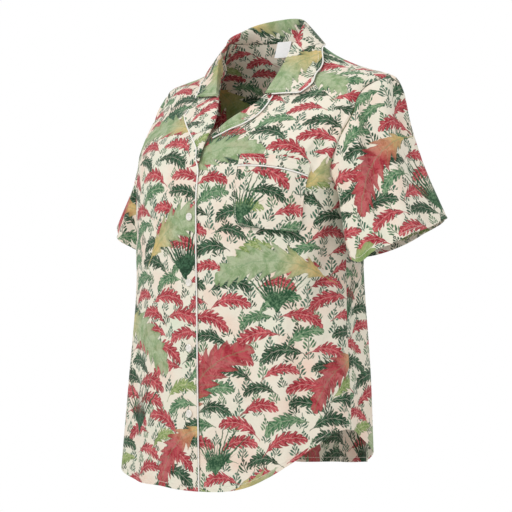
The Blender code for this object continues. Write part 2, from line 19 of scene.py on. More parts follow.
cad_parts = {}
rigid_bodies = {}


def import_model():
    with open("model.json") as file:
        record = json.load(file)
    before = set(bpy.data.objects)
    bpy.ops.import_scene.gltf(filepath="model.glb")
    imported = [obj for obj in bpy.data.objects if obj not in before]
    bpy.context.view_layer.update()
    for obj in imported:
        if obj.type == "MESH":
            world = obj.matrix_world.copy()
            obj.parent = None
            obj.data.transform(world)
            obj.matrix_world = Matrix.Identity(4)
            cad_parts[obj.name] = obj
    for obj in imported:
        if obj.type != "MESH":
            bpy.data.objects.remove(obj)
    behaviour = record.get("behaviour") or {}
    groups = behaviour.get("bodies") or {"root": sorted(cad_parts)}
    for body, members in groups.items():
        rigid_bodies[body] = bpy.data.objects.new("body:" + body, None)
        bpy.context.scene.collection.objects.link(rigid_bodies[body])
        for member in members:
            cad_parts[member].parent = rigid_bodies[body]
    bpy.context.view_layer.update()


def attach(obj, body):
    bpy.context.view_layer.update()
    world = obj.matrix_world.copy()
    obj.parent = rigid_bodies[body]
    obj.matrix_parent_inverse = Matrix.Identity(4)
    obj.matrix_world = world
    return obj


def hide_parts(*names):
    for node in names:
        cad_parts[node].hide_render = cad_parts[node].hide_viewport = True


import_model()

# %% [markdown]
# ## The camera
# The garment is seen at chest height from 42 degrees round to its wearer's left, through a long
# lens, so that its near and far sides keep almost the same scale.  Its aim is a point in the
# middle of the body, three metres away, and the picture is shifted a little to one side.

# %% Camera
VIEW_AZIMUTH = math.radians(42)
AIM = Vector((0.0, -0.053, -0.315))
DISTANCE = 3.0
FOCAL_LENGTH, SENSOR_WIDTH = 143.1, 36.0    # millimetres
SIDE_SHIFT = 0.01171875                     # a share of the picture's width

lens = bpy.data.cameras.new("camera")
lens.lens, lens.sensor_width, lens.shift_x = FOCAL_LENGTH, SENSOR_WIDTH, SIDE_SHIFT
camera = bpy.data.objects.new("camera", lens)
bpy.context.scene.collection.objects.link(camera)
camera.location = AIM + DISTANCE * Vector((math.sin(VIEW_AZIMUTH), -math.cos(VIEW_AZIMUTH), 0.0))
camera.rotation_euler = (AIM - camera.location).to_track_quat("-Z", "Y").to_euler()
bpy.context.scene.camera = camera
print("camera at", [round(v, 3) for v in camera.location])

# %% [markdown]
# ## Small tools for materials and meshes
# Colours are written as hex, as a dyer's chart would give them, and turned to the linear values
# that a renderer adds up.  One function adds any node with its settings and links.  Patterns are
# sums of many small steps, so they are written as lines of arithmetic, one step a line, and each
# line becomes a Math node.  Every mesh here is drawn with bmesh and then made an object.

# %% Colours, nodes and objects
def paint(hex_code):
    """An sRGB hex colour as linear RGBA."""
    channels = [int(hex_code[i:i + 2], 16) / 255 for i in (1, 3, 5)]
    return (*[c / 12.92 if c <= 0.04045 else ((c + 0.055) / 1.055) ** 2.4 for c in channels], 1.0)


def add_node(tree, kind, inputs=(), **settings):
    """Adds a node, sets what it is told, and feeds its inputs in order or by name."""
    node = tree.nodes.new(kind)
    for name, value in settings.items():
        setattr(node, name, value)
    for place, value in dict(inputs if isinstance(inputs, dict) else enumerate(inputs)).items():
        if isinstance(value, bpy.types.NodeSocket):
            tree.links.new(value, node.inputs[place])
        elif value is not None:
            node.inputs[place].default_value = value
    return node


SIGNS = {"+": "ADD", "-": "SUBTRACT", "*": "MULTIPLY", "/": "DIVIDE", "^": "POWER",
         "<": "LESS_THAN", ">": "GREATER_THAN"}


def work_out(tree, sums, known):
    """Adds a Math node for each line, such as 'area = wide * long' or 'size = ABSOLUTE gap'."""
    known = dict(known)
    for line in sums.strip().splitlines():
        name, _, *words = line.split()
        if len(words) == 3 and words[1] in SIGNS:
            words = [SIGNS[words[1]], words[0], words[2]]
        values = [known[word] if word in known else float(word) for word in words[1:]]
        known[name] = add_node(tree, "ShaderNodeMath", values, operation=words[0]).outputs[0]
    return known


def new_material(name, finish):
    """A material, its node tree and its Principled surface, with the plain numbers of its finish."""
    made = bpy.data.materials.new(name)
    made.use_nodes = True
    surface = made.node_tree.nodes["Principled BSDF"]
    for socket, value in finish.items():
        surface.inputs[socket].default_value = value
    return made, made.node_tree, surface


def tinted(tree, surface, texture, dark, light, between=(0.0, 1.0)):
    """Lets a grey texture colour the surface, from one hex colour to another."""
    ramp = add_node(tree, "ShaderNodeValToRGB", (texture,))
    for element, at, hex_code in zip(ramp.color_ramp.elements, between, (dark, light)):
        element.position, element.color = at, paint(hex_code)
    tree.links.new(ramp.outputs[0], surface.inputs["Base Color"])


def new_group(name, gives_in, gives_out):
    """A node group with plain number sockets, its inputs by name and its output node."""
    tree = bpy.data.node_groups.new(name, "ShaderNodeTree")
    for socket in gives_in:
        tree.interface.new_socket(socket, in_out="INPUT", socket_type="NodeSocketFloat")
    for socket in gives_out:
        tree.interface.new_socket(socket, in_out="OUTPUT", socket_type="NodeSocketFloat")
    inside = add_node(tree, "NodeGroupInput")
    return tree, {socket: inside.outputs[socket] for socket in gives_in}, add_node(tree, "NodeGroupOutput")


def object_from(name, shape, *materials):
    """A new object from a finished bmesh."""
    mesh = bpy.data.meshes.new(name)
    shape.to_mesh(mesh)
    shape.free()
    for material in materials:
        mesh.materials.append(material)
    made = bpy.data.objects.new(name, mesh)
    bpy.context.scene.collection.objects.link(made)
    return made


# %% [markdown]
# ## A studio with a pale floor
# The garment hangs at a wearer's height over a pale floor, in soft even light from four wide
# lamps.  The key stands in front and high, a weak one in front and low reaches into the neck, one
# is at the wearer's left side, and one behind fills the back.  The white surroundings do the
# rest.  The floor fades into them away from the middle, so no edge shows, and it still takes the
# garment's soft shadow.

# %% Floor, lamps and surroundings
FLOOR_Z = -1.38
FLOOR_RADIUS = 9.0
AMBIENT = 0.55              # how brightly the surroundings light the cloth; the eye sees them white

floor_material, tree, surface = new_material("matt_white_floor",
                                             {"Base Color": paint("#f4f3f1"), "Roughness": 0.9})
place = add_node(tree, "ShaderNodeTexCoord").outputs["Object"]
away = add_node(tree, "ShaderNodeVectorMath", (place, (0, 0, -FLOOR_Z)), operation="ADD").outputs[0]
radius = add_node(tree, "ShaderNodeVectorMath", (away,), operation="LENGTH").outputs["Value"]
path = add_node(tree, "ShaderNodeLightPath")
fade = work_out(tree, """
    outward = radius - 0.5
    share = outward / 1.6
    far = MINIMUM share 1
    near = MAXIMUM far 0.55
    seen = MAXIMUM camera glossy
    white = near * seen
""", {"radius": radius, "camera": path.outputs["Is Camera Ray"], "glossy": path.outputs["Is Glossy Ray"]})
plain = add_node(tree, "ShaderNodeEmission", {"Color": (1, 1, 1, 1), "Strength": 1.0})
mixed = add_node(tree, "ShaderNodeMixShader", (fade["white"], surface.outputs[0], plain.outputs[0]))
tree.links.new(mixed.outputs[0], tree.nodes["Material Output"].inputs["Surface"])

shape = bmesh.new()
bmesh.ops.create_circle(shape, cap_ends=True, radius=FLOOR_RADIUS, segments=96)
bmesh.ops.translate(shape, vec=(0, 0, FLOOR_Z), verts=shape.verts)
floor = object_from("floor", shape, floor_material)

world = bpy.data.worlds.new("white_surroundings")
bpy.context.scene.world = world
world.use_nodes = True
tree = world.node_tree
path = add_node(tree, "ShaderNodeLightPath")
seen = work_out(tree, """
    direct = MAXIMUM camera glossy
    seen = MAXIMUM direct through
""", {"camera": path.outputs["Is Camera Ray"], "glossy": path.outputs["Is Glossy Ray"],
      "through": path.outputs["Is Transmission Ray"]})["seen"]
strength = add_node(tree, "ShaderNodeMapRange", {"Value": seen, "To Min": AMBIENT, "To Max": 1.0})
tree.nodes["Background"].inputs["Color"].default_value = (1, 1, 1, 1)
tree.links.new(strength.outputs[0], tree.nodes["Background"].inputs["Strength"])

Lamp = namedtuple("Lamp", "name azimuth height distance size watts")   # azimuth from the front
LAMPS = [
    Lamp("key", -10, 2.00, 2.25, 1.3, 34),
    Lamp("front", 24, 0.45, 2.3, 1.2, 6),
    Lamp("side", 105, 1.75, 2.6, 1.4, 19),
    Lamp("behind", 215, 0.90, 2.8, 1.8, 12),
]
for lamp in LAMPS:
    light = bpy.data.lights.new(lamp.name, "AREA")
    light.shape, light.size, light.energy = "DISK", lamp.size, lamp.watts
    made = bpy.data.objects.new(lamp.name, light)
    bpy.context.scene.collection.objects.link(made)
    turn = math.radians(lamp.azimuth)
    ahead = -math.cos(turn) * lamp.distance
    made.location = AIM + Vector((math.sin(turn) * lamp.distance, ahead, lamp.height))
    made.rotation_euler = (AIM - made.location).to_track_quat("-Z", "Y").to_euler()
bpy.context.scene.view_settings.view_transform = "Standard"
print("stage:", len(LAMPS), "lamps, floor at", FLOOR_Z)

# %% [markdown]
# ## The hollow body
# The body has no patches of its own: it is one smooth form, given by a few level sections, and
# every panel, pocket and lapel is a stretch of it.  The sections are squarer than an ellipse,
# because cloth that hangs from the shoulders spans the hollows of a waist.  These tables say
# where each edge runs.

# %% The body's sections, in metres
ROUNDNESS = 2.4             # 2 is an ellipse, and more is squarer
RIGHT_FLARE = 0.009         # the right side spreads this much towards the hem
FLARE_ACROSS, FLARE_DOWN = (0.08, 0.19), (-0.66, -0.44)
# A turn is in degrees round the body: 0 is the centre front, 90 the wearer's left side, 180 the back.
Section = namedtuple("Section", "z half_width front back centre_y")
TORSO = [
    Section(-0.680, 0.2150, 0.1130, 0.1300, -0.0680),
    Section(-0.580, 0.2050, 0.1200, 0.1270, -0.0620),
    Section(-0.480, 0.1950, 0.1260, 0.1250, -0.0570),
    Section(-0.380, 0.1860, 0.1290, 0.1220, -0.0540),
    Section(-0.280, 0.1834, 0.1300, 0.1220, -0.0530),
    Section(-0.210, 0.1880, 0.1300, 0.1220, -0.0490),
    Section(-0.160, 0.1950, 0.1230, 0.1120, -0.0380),
    Section(-0.115, 0.2000, 0.0950, 0.0920, -0.0220),
    Section(-0.080, 0.2005, 0.0840, 0.0660, 0.0020),
    Section(-0.055, 0.2045, 0.0640, 0.0560, 0.0140),
    Section(-0.040, 0.1510, 0.0450, 0.0510, 0.0160),
    Section(-0.025, 0.1165, 0.0380, 0.0430, 0.0080),
    Section(-0.010, 0.0920, 0.0360, 0.0390, 0.0030),
    Section(0.008, 0.0740, 0.0360, 0.0370, -0.0030),
]
print("body:", len(TORSO), "sections from", TORSO[0].z, "to", TORSO[-1].z)

# %% Where its edges run
ARMHOLE_TOP_Z, ARMHOLE_BASE_Z, NECK_Z = -0.055, -0.225, 0.006
Armhole = namedtuple("Armhole", "z front_y back_y")
ARMHOLE = [
    Armhole(-0.225, -0.050, -0.050), Armhole(-0.219, -0.070, -0.020), Armhole(-0.205, -0.086, 0.004),
    Armhole(-0.178, -0.087, 0.016), Armhole(-0.147, -0.076, 0.023), Armhole(-0.115, -0.054, 0.027),
    Armhole(-0.085, -0.034, 0.027), Armhole(-0.064, -0.009, 0.026), Armhole(-0.055, 0.014, 0.014),
]

Edge = namedtuple("Edge", "z x")
LEFT_EDGE = [
    Edge(-0.700, -0.0135), Edge(-0.200, -0.0135), Edge(-0.176, -0.0120), Edge(-0.160, 0.0000),
    Edge(-0.145, 0.0110), Edge(-0.130, 0.0220), Edge(-0.115, 0.0360), Edge(-0.100, 0.0560),
    Edge(-0.085, 0.0640), Edge(-0.055, 0.0730), Edge(-0.025, 0.0770), Edge(0.006, 0.0735),
]
RIGHT_EDGE = [
    Edge(-0.700, 0.0135), Edge(-0.240, 0.0135), Edge(-0.215, 0.0125), Edge(-0.190, 0.0105),
    Edge(-0.165, 0.0095), Edge(-0.147, 0.0070), Edge(-0.128, 0.0010), Edge(-0.110, -0.0100),
    Edge(-0.090, -0.0260), Edge(-0.070, -0.0460), Edge(-0.050, -0.0660), Edge(-0.025, -0.0770),
    Edge(0.006, -0.0735),
]

Hem = namedtuple("Hem", "turn z")
HEM = [
    Hem(-180, -0.627), Hem(-145, -0.617), Hem(-122, -0.604), Hem(-104, -0.586), Hem(-90, -0.576),
    Hem(-70, -0.602), Hem(-50, -0.632), Hem(-30, -0.647), Hem(-14, -0.6475), Hem(0, -0.650),
    Hem(20, -0.643), Hem(35, -0.624), Hem(52, -0.597), Hem(70, -0.570), Hem(90, -0.559),
    Hem(104, -0.580), Hem(122, -0.606), Hem(145, -0.617), Hem(165, -0.622), Hem(180, -0.627),
]
print("hem: lowest at", min(row.z for row in HEM), "and highest at", max(row.z for row in HEM))


# %% Reading the tables
def read(rows, name, at):
    """One column of a table, read smoothly between its rows; the first column is the key."""
    keys = np.array([row[0] for row in rows], dtype=float)
    values = np.array([getattr(row, name) for row in rows], dtype=float)
    slopes = np.gradient(values, keys)
    at = np.clip(np.asarray(at, dtype=float), keys[0], keys[-1])
    row = np.clip(np.searchsorted(keys, at, side="right") - 1, 0, len(keys) - 2)
    span = keys[row + 1] - keys[row]
    t = (at - keys[row]) / span
    rise = values[row] * (1 + 2 * t) * (1 - t) ** 2 + values[row + 1] * t * t * (3 - 2 * t)
    return rise + span * t * (1 - t) * (slopes[row] * (1 - t) - slopes[row + 1] * t)


def hermite(start, start_pull, end, end_pull, t):
    """A point on the curve from start to end that leaves and arrives along the two pulls."""
    rise = start * ((1 + 2 * t) * (1 - t) ** 2) + end * (t * t * (3 - 2 * t))
    return rise + start_pull * (t * (1 - t) ** 2) - end_pull * (t * t * (1 - t))


def ease(value, low, high):
    """0 below low, 1 above high and smooth between."""
    t = np.clip((value - low) / (high - low), 0.0, 1.0)
    return t * t * (3 - 2 * t)


def unit(vector):
    """The vector, or each of an array of vectors, at length one."""
    return vector / np.maximum(np.linalg.norm(vector, axis=-1, keepdims=True), 1e-12)


# %% [markdown]
# ## Folds
# Light cotton on a hollow form breaks into a few long soft folds: they start where the cloth is
# held, at the armholes and the bust, and fade out or run to the hem.  A cloth simulation would
# fill the form evenly, so each fold is listed instead, as a fitter would pin it: where it
# starts and ends, how wide it is and how far it stands out.  A ridge has a shallow trough beside
# it, and its two slopes are not alike.  The hidden sides get folds of the same kind.

# %% The body's folds
Crease = namedtuple("Crease", "turn_from z_from turn_to z_to width lift")
METRES_A_DEGREE = 0.0033    # the body's girth, spread over its turns
STEEP_SLOPE, SOFT_SLOPE = 0.85, 1.35        # of a fold, in shares of its width
TROUGH_DEPTH, TROUGH_AWAY = 0.42, 1.7       # in shares of its height and of its width
RISES, SINKS = (-0.06, 0.34), (0.66, 1.06)  # where it starts and fades, in shares of its length
BODY_FOLDS = [
    # the wearer's left front and side
    Crease(74, -0.080, 66, -0.250, 0.013, 0.0034), Crease(60, -0.110, 57, -0.270, 0.018, -0.0022),
    Crease(84, -0.235, 52, -0.350, 0.016, 0.0034), Crease(86, -0.250, 66, -0.420, 0.017, -0.0036),
    Crease(92, -0.245, 80, -0.520, 0.018, 0.0030), Crease(98, -0.260, 97, -0.620, 0.017, -0.0028),
    Crease(47, -0.330, 40, -0.760, 0.026, 0.0036), Crease(56, -0.360, 53, -0.760, 0.019, -0.0044),
    Crease(68, -0.400, 65, -0.740, 0.017, 0.0044), Crease(78, -0.420, 78, -0.720, 0.014, -0.0034),
    Crease(27, -0.400, 24, -0.800, 0.022, -0.0026), Crease(15, -0.300, 12, -0.780, 0.017, 0.0014),
    Crease(30, -0.205, 12, -0.265, 0.016, 0.0012), Crease(40, -0.150, 22, -0.125, 0.016, 0.0012),
    Crease(71, -0.080, 63, -0.215, 0.008, -0.0030), Crease(62, -0.085, 53, -0.200, 0.008, 0.0024),
    # the wearer's right front and side
    Crease(-70, -0.085, -62, -0.210, 0.008, -0.0028), Crease(-61, -0.090, -52, -0.195, 0.008, 0.0022),
    Crease(-72, -0.090, -66, -0.260, 0.014, 0.0034), Crease(-58, -0.120, -55, -0.260, 0.017, -0.0022),
    Crease(-82, -0.235, -50, -0.340, 0.016, 0.0026), Crease(-88, -0.250, -70, -0.430, 0.017, -0.0026),
    Crease(-52, -0.350, -44, -0.780, 0.025, 0.0032), Crease(-38, -0.400, -33, -0.790, 0.019, -0.0028),
    Crease(-66, -0.380, -62, -0.760, 0.019, -0.0036), Crease(-79, -0.360, -76, -0.740, 0.017, 0.0032),
    Crease(-22, -0.300, -17, -0.760, 0.018, 0.0018), Crease(-30, -0.200, -14, -0.262, 0.016, 0.0012),
    # the back
    Crease(108, -0.090, 114, -0.220, 0.009, -0.0028), Crease(252, -0.090, 246, -0.215, 0.009, -0.0028),
    Crease(106, -0.150, 116, -0.330, 0.018, 0.0034), Crease(118, -0.130, 126, -0.300, 0.017, -0.0024),
    Crease(110, -0.280, 113, -0.760, 0.022, 0.0034), Crease(124, -0.330, 128, -0.760, 0.020, -0.0036),
    Crease(139, -0.220, 143, -0.780, 0.024, 0.0042), Crease(156, -0.300, 155, -0.780, 0.019, -0.0032),
    Crease(170, -0.180, 168, -0.790, 0.026, 0.0034), Crease(186, -0.260, 187, -0.790, 0.020, -0.0034),
    Crease(200, -0.150, 204, -0.780, 0.024, 0.0040), Crease(219, -0.280, 217, -0.780, 0.019, -0.0034),
    Crease(232, -0.210, 234, -0.770, 0.022, 0.0036), Crease(246, -0.300, 246, -0.760, 0.017, -0.0030),
    Crease(254, -0.150, 246, -0.310, 0.018, 0.0034), Crease(258, -0.240, 261, -0.700, 0.017, 0.0026),
    Crease(150, -0.120, 208, -0.128, 0.020, 0.0020), Crease(158, -0.160, 200, -0.168, 0.017, -0.0014),
]
print("body folds:", len(BODY_FOLDS))

# %% How folds lift the cloth
FLAT_EDGE = (4, 16)                         # degrees off the middle: the buttoned edge lies flat
SHOULDERS, SHOULDER_SHARE = (-0.100, -0.060), 0.25      # folds there are a quarter as high
Slack = namedtuple("Slack", "depth z_full z_none")
SLACK = [Slack(0.0018, -0.300, -0.240), Slack(0.0014, -0.620, -0.480)]


def fold_height(along, across, length, crease):
    """How far one fold lifts the cloth, from the place along it and the distance off its line."""
    width = crease.width * np.where(across > 0, SOFT_SLOPE, STEEP_SLOPE)
    trough = np.exp(-((across - TROUGH_AWAY * crease.width) / width) ** 2)
    ridge = np.exp(-(across / width) ** 2) - TROUGH_DEPTH * trough
    share = along / length
    return crease.lift * ridge * ease(share, *RISES) * (1 - ease(share, *SINKS))


def folds_lift(folds, turn, down, degree, step):
    """How far a list of folds lifts the cloth; degree and step turn its two numbers to metres."""
    lift = np.zeros(np.broadcast(turn, down).shape)
    for crease in folds:
        run_turn = (crease.turn_to - crease.turn_from) * degree
        run_down = (crease.z_to - crease.z_from) * step
        length = math.hypot(run_turn, run_down)
        off_turn = ((turn - crease.turn_from + 180) % 360 - 180) * degree
        off_down = (down - crease.z_from) * step
        along = (off_turn * run_turn + off_down * run_down) / length
        across = (off_turn * run_down - off_down * run_turn) / length
        lift += fold_height(along, across, length, crease)
    return lift


def drape(turn, z):
    """How far the folds lift the body cloth at a turn in degrees and a height."""
    turn, z = np.broadcast_arrays(np.asarray(turn, dtype=float), np.asarray(z, dtype=float))
    lift = folds_lift(BODY_FOLDS, turn, z, METRES_A_DEGREE, 1.0)
    off_middle = np.abs((turn + 180) % 360 - 180)
    loose = 1 - ease(z, *SHOULDERS)
    slack = sum(row.depth * (1 - ease(z, row.z_full, row.z_none)) for row in SLACK)
    lift = lift * (SHOULDER_SHARE + (1 - SHOULDER_SHARE) * loose) - slack
    return lift * np.where(off_middle < 90, ease(off_middle, *FLAT_EDGE), 1.0)


# %% [markdown]
# ## The body's surface
# With the folds in hand, one function gives the outer face of the cloth at any turn and height,
# and another gives its outward direction.  Whatever lies on the body is placed with these two, so
# a pocket or a lapel follows the folds below it.

# %% The body's surface
FOLD_TURN, FORM_TURN, SMALL_RISE = 1.2, 0.5, 0.001      # steps that a direction is measured over
CHEST_Z = -0.28


def torso_point(turn, z, folded=True):
    """The outer face of the body cloth at a turn in degrees and a height."""
    turn, z = np.broadcast_arrays(np.asarray(turn, dtype=float), np.asarray(z, dtype=float))
    around = np.radians(turn)
    side, ahead = np.sin(around), np.cos(around)
    power = 2 / ROUNDNESS
    depth = np.where(ahead > 0, read(TORSO, "front", z), read(TORSO, "back", z))
    x = read(TORSO, "half_width", z) * np.sign(side) * np.abs(side) ** power
    x = x - RIGHT_FLARE * ease(-x, *FLARE_ACROSS) * (1 - ease(z, *FLARE_DOWN))
    y = read(TORSO, "centre_y", z) - depth * np.sign(ahead) * np.abs(ahead) ** power
    points = np.stack([x, y, z], axis=-1)
    if folded:
        points = points + torso_normal(turn, z, False) * drape(turn, z)[..., None]
    return points


def torso_normal(turn, z, folded=True):
    """The outward direction of the body form, wide enough to smooth its finest folds."""
    z, reach = np.asarray(z), FOLD_TURN if folded else FORM_TURN
    across = torso_point(turn + reach, z, folded) - torso_point(turn - reach, z, folded)
    up = torso_point(turn, z + SMALL_RISE, folded) - torso_point(turn, z - SMALL_RISE, folded)
    return unit(np.cross(across, up))


def on_body(turn, z, lift):
    """A point that lies this far out over the body cloth."""
    return torso_point(turn, z) + torso_normal(turn, z) * np.asarray(lift)[..., None]


def turn_at_width(x, z):
    """The turn, on the front half, whose point has this x."""
    share = np.clip(np.abs(x) / read(TORSO, "half_width", z), 0, 1) ** (ROUNDNESS / 2)
    return np.sign(x) * np.degrees(np.arcsin(share))


def turn_of(x, y, z):
    """The turn of the body form's point that lies nearest to this direction from its centre."""
    ahead = read(TORSO, "centre_y", z) - y
    depth = np.where(ahead > 0, read(TORSO, "front", z), read(TORSO, "back", z))
    side = np.sign(x) * (np.abs(x) / read(TORSO, "half_width", z)) ** (ROUNDNESS / 2)
    return np.degrees(np.arctan2(side, np.sign(ahead) * (np.abs(ahead) / depth) ** (ROUNDNESS / 2)))


def armhole_turn(z, column):
    """The turn of the armhole edge at a height, on the front half or on the back half."""
    ahead = read(TORSO, "centre_y", z) - read(ARMHOLE, column, z)
    depth = read(TORSO, "front" if column == "front_y" else "back", z)
    share = np.clip(np.abs(ahead) / depth, 0, 1) ** (ROUNDNESS / 2)
    return 90 - np.sign(ahead) * np.degrees(np.arcsin(share))


def grid_normals(points, around=False):
    """Outward directions of a grid of points whose columns run along +turn and rows run up."""
    if around:
        across = np.roll(points, -1, axis=1) - np.roll(points, 1, axis=1)
    else:
        across = np.gradient(points, axis=1)
    return unit(np.cross(across, np.gradient(points, axis=0)))


ring = torso_point(np.linspace(0, 360, 181), CHEST_Z)
print(f"round the chest: {np.linalg.norm(np.diff(ring, axis=0), axis=1).sum():.3f} m")

# %% [markdown]
# ## From cut to cloth
# A maker lays every piece flat before sewing it, and the print runs straight on that flat cut.
# So each grid of threads is unrolled here: a first guess is measured along its rows and columns,
# and then the threads pull each other to their true lengths, a few hundred times.  The result is
# kept as a map on the mesh, in metres, and it also gives the size of the cut.

# %% Unroll, sew and finish one piece
CLOTH = 0.0011            # cotton poplin with its seam allowances, as the eye takes it
UNROLL_STEP = 5           # every fifth thread is enough to find the cut
UNROLL_ROUNDS = 500
UNROLL_PULL = 0.22        # the share of a thread's error that each round takes away
CREASE_ANGLE = math.radians(50)


def arc(points, axis):
    """Lengths from the first thread, along one direction of a grid."""
    steps = np.linalg.norm(np.diff(points, axis=axis), axis=-1)
    return np.concatenate([np.zeros_like(np.take(steps, [0], axis)), np.cumsum(steps, axis=axis)], axis=axis)


def stretched_over(values, rows, columns, shape):
    """A coarse grid's values, read at every thread of the fine one."""
    part = np.stack([[np.interp(np.arange(shape[1]), columns, line[:, k]) for line in values]
                     for k in range(2)], axis=-1)
    return np.stack([[np.interp(np.arange(shape[0]), rows, part[:, c, k]) for c in range(shape[1])]
                     for k in range(2)], axis=-1).transpose(1, 0, 2)


def flat_cut(points):
    """The flat place of every thread crossing, in metres, with its middle at zero."""
    rows = np.unique([*range(0, points.shape[0], UNROLL_STEP), points.shape[0] - 1])
    columns = np.unique([*range(0, points.shape[1], UNROLL_STEP), points.shape[1] - 1])
    coarse = points[np.ix_(rows, columns)]
    sideways, upward = arc(points, 1)[np.ix_(rows, columns)], arc(points, 0)[np.ix_(rows, columns)]
    middle_row, middle_column = len(rows) // 2, len(columns) // 2
    flat = np.stack([sideways - sideways[:, [middle_column]], upward - upward[[middle_row], :]], axis=-1)
    whole = slice(None)
    threads = [
        ((whole, slice(1, None)), (whole, slice(None, -1))),
        ((slice(1, None), whole), (slice(None, -1), whole)),
        ((slice(1, None), slice(1, None)), (slice(None, -1), slice(None, -1))),
        ((slice(1, None), slice(None, -1)), (slice(None, -1), slice(1, None))),
    ]
    lengths = [np.linalg.norm(coarse[a] - coarse[b], axis=-1) for a, b in threads]
    for _ in range(UNROLL_ROUNDS):
        for (a, b), length in zip(threads, lengths):
            gap = flat[a] - flat[b]
            now = np.maximum(np.linalg.norm(gap, axis=-1), 1e-9)
            pull = gap * ((length - now) / now * UNROLL_PULL)[..., None]
            moved = np.zeros_like(flat)
            moved[a] += pull
            moved[b] -= pull
            flat = flat + moved
    flat = flat - flat.mean(axis=(0, 1))
    return stretched_over(flat, rows, columns, points.shape)


def cut_size(flat):
    """Width, length and area of a flat cut."""
    span = flat.reshape(-1, 2).max(0) - flat.reshape(-1, 2).min(0)
    one, other = flat[1:, 1:] - flat[:-1, :-1], flat[1:, :-1] - flat[:-1, 1:]
    area = np.abs(one[..., 0] * other[..., 1] - one[..., 1] * other[..., 0]).sum() / 2
    return float(span[0]), float(span[1]), float(area)


def finish_piece(made, wall):
    """Gives the sheet its thickness for good, and keeps its folded edges crisp."""
    thick = made.modifiers.new("wall", "SOLIDIFY")
    thick.thickness, thick.offset = wall, -1.0
    seen = made.evaluated_get(bpy.context.evaluated_depsgraph_get())
    walled = bpy.data.meshes.new_from_object(seen)
    made.modifiers.clear()
    thin, made.data = made.data, walled
    bpy.data.meshes.remove(thin)
    walled.name = made.name
    walled.shade_smooth()
    walled.set_sharp_from_angle(angle=CREASE_ANGLE)


CutPiece = namedtuple("CutPiece", "made width length area")


def cloth_piece(name, points, material, bolt_place, edging=None, wall=CLOTH, around=False):
    """One cut piece: a grid of threads, placed, mapped to its cut, closed if it is a tube.

    bolt_place is where the piece was cut from the printed bolt, in metres, and edging gives each
    thread crossing its way along the nearest edge and its distance from it, for the stitching.
    """
    rows, columns = points.shape[:2]
    flat = flat_cut(points)
    width, length, area = cut_size(flat)
    printed = flat + np.array(bolt_place)
    if edging is None:
        edging = np.full((rows, columns, 2), 1.0)
    shape = bmesh.new()
    bmesh.ops.create_grid(shape, x_segments=columns - 1, y_segments=rows - 1, size=1.0)
    for vert, point in zip(shape.verts, points.reshape(-1, 3)):
        vert.co = point
    cut_map, edge_map = shape.loops.layers.uv.new("cut"), shape.loops.layers.uv.new("edging")
    cut_list, edge_list = printed.reshape(-1, 2), edging.reshape(-1, 2)
    for face in shape.faces:
        for loop in face.loops:
            loop[cut_map].uv = cut_list[loop.vert.index]
            loop[edge_map].uv = edge_list[loop.vert.index]
    if around:
        bmesh.ops.remove_doubles(shape, verts=shape.verts, dist=1e-5)
    made = object_from(name, shape, material)
    finish_piece(made, wall)
    print(f"{name}: cut {width * 1000:.0f} x {length * 1000:.0f} mm, {area:.4f} m2,",
          len(made.data.polygons), "faces")
    return CutPiece(made, width, length, area)


# %% [markdown]
# ## The printed cotton
# The cloth is a woven cotton poplin, printed all over in watercolour style.  This is a botanical
# print of its own: arched leaves in crimson and greens on a cream ground, sprigs between them,
# broad sage leaves washed with ochre, and tufts of grass.  Real prints repeat on a lattice, each
# second row shifted by half, so each motif has its own lattice, and every cell of it is tilted,
# sized and coloured by a number drawn from its own place.  Distances are in millimetres.

# %% A lattice whose cells each draw their own numbers
LATTICE_SUMS = """
    tall = y / pitch_y
    tall_in = tall + start
    row = FLOOR tall_in
    half = row * 0.5
    broad = x / pitch_x
    broad_in = broad + half
    column = FLOOR broad_in
    in_x = broad_in - column
    in_y = tall_in - row
    mid_x = in_x - 0.5
    mid_y = in_y - 0.5
    cell_x = mid_x * pitch_x
    cell_y = mid_y * pitch_y
"""
TURN_SUMS = """
    tilt_one = tilt_draw - 0.5
    tilt_all = tilt_one * tilt
    angle = tilt_all + lean
    turn_c = COSINE angle
    turn_s = SINE angle
    xc = cell_x * turn_c
    ys = cell_y * turn_s
    xs = cell_x * turn_s
    yc = cell_y * turn_c
    turned_x = xc + ys
    turned_y = yc - xs
    flip_to = SIGN flip_draw
    size_one = size_draw * 0.3
    size = size_one + 0.85
    flipped_x = turned_x * flip_to
    px = flipped_x / size
    py = turned_y / size
"""
KEEP_SUMS = """
    in_cell = hue < keep
    gone_1 = 1 - in_cell
    gone = gone_1 * 90
    margin = whole - gone
"""


def scattered(name, asks, gives, motif_sums):
    """A node group: a motif in most cells of a half-drop lattice, its outline by its own sums."""
    lattice = ["x", "y", "pitch_x", "pitch_y", "start", "seed", "tilt", "lean"]
    tree, inside, output = new_group(name, [*lattice, *asks], gives)
    cell = work_out(tree, LATTICE_SUMS, inside)
    number = add_node(tree, "ShaderNodeCombineXYZ", (cell["column"], cell["row"], cell["seed"]))
    draw = add_node(tree, "ShaderNodeTexWhiteNoise", (number.outputs[0],), noise_dimensions="3D")
    split = add_node(tree, "ShaderNodeSeparateColor", (draw.outputs["Color"],))
    drawn = {"tilt_draw": split.outputs[0], "size_draw": split.outputs[2], "hue": draw.outputs["Value"]}
    drawn |= work_out(tree, "flip_draw = green - 0.5", {"green": split.outputs[1]})
    turned = work_out(tree, TURN_SUMS, cell | drawn)
    motif = work_out(tree, KEEP_SUMS, work_out(tree, motif_sums, turned))
    for given in gives:
        tree.links.new(motif[given], output.inputs[given])
    return tree


# %% [markdown]
# ### The motifs
# A leaf is a curved midrib with a width that swells and narrows along it; waves cut into its edge
# and thin lines are its veins.  Each motif gives a margin, the distance in millimetres inside its
# edge, so that paint can pool at the rim as watercolour does.  A sprig is a stem with paired
# leaflets, and a tuft is a fan of blades that grow from one root.

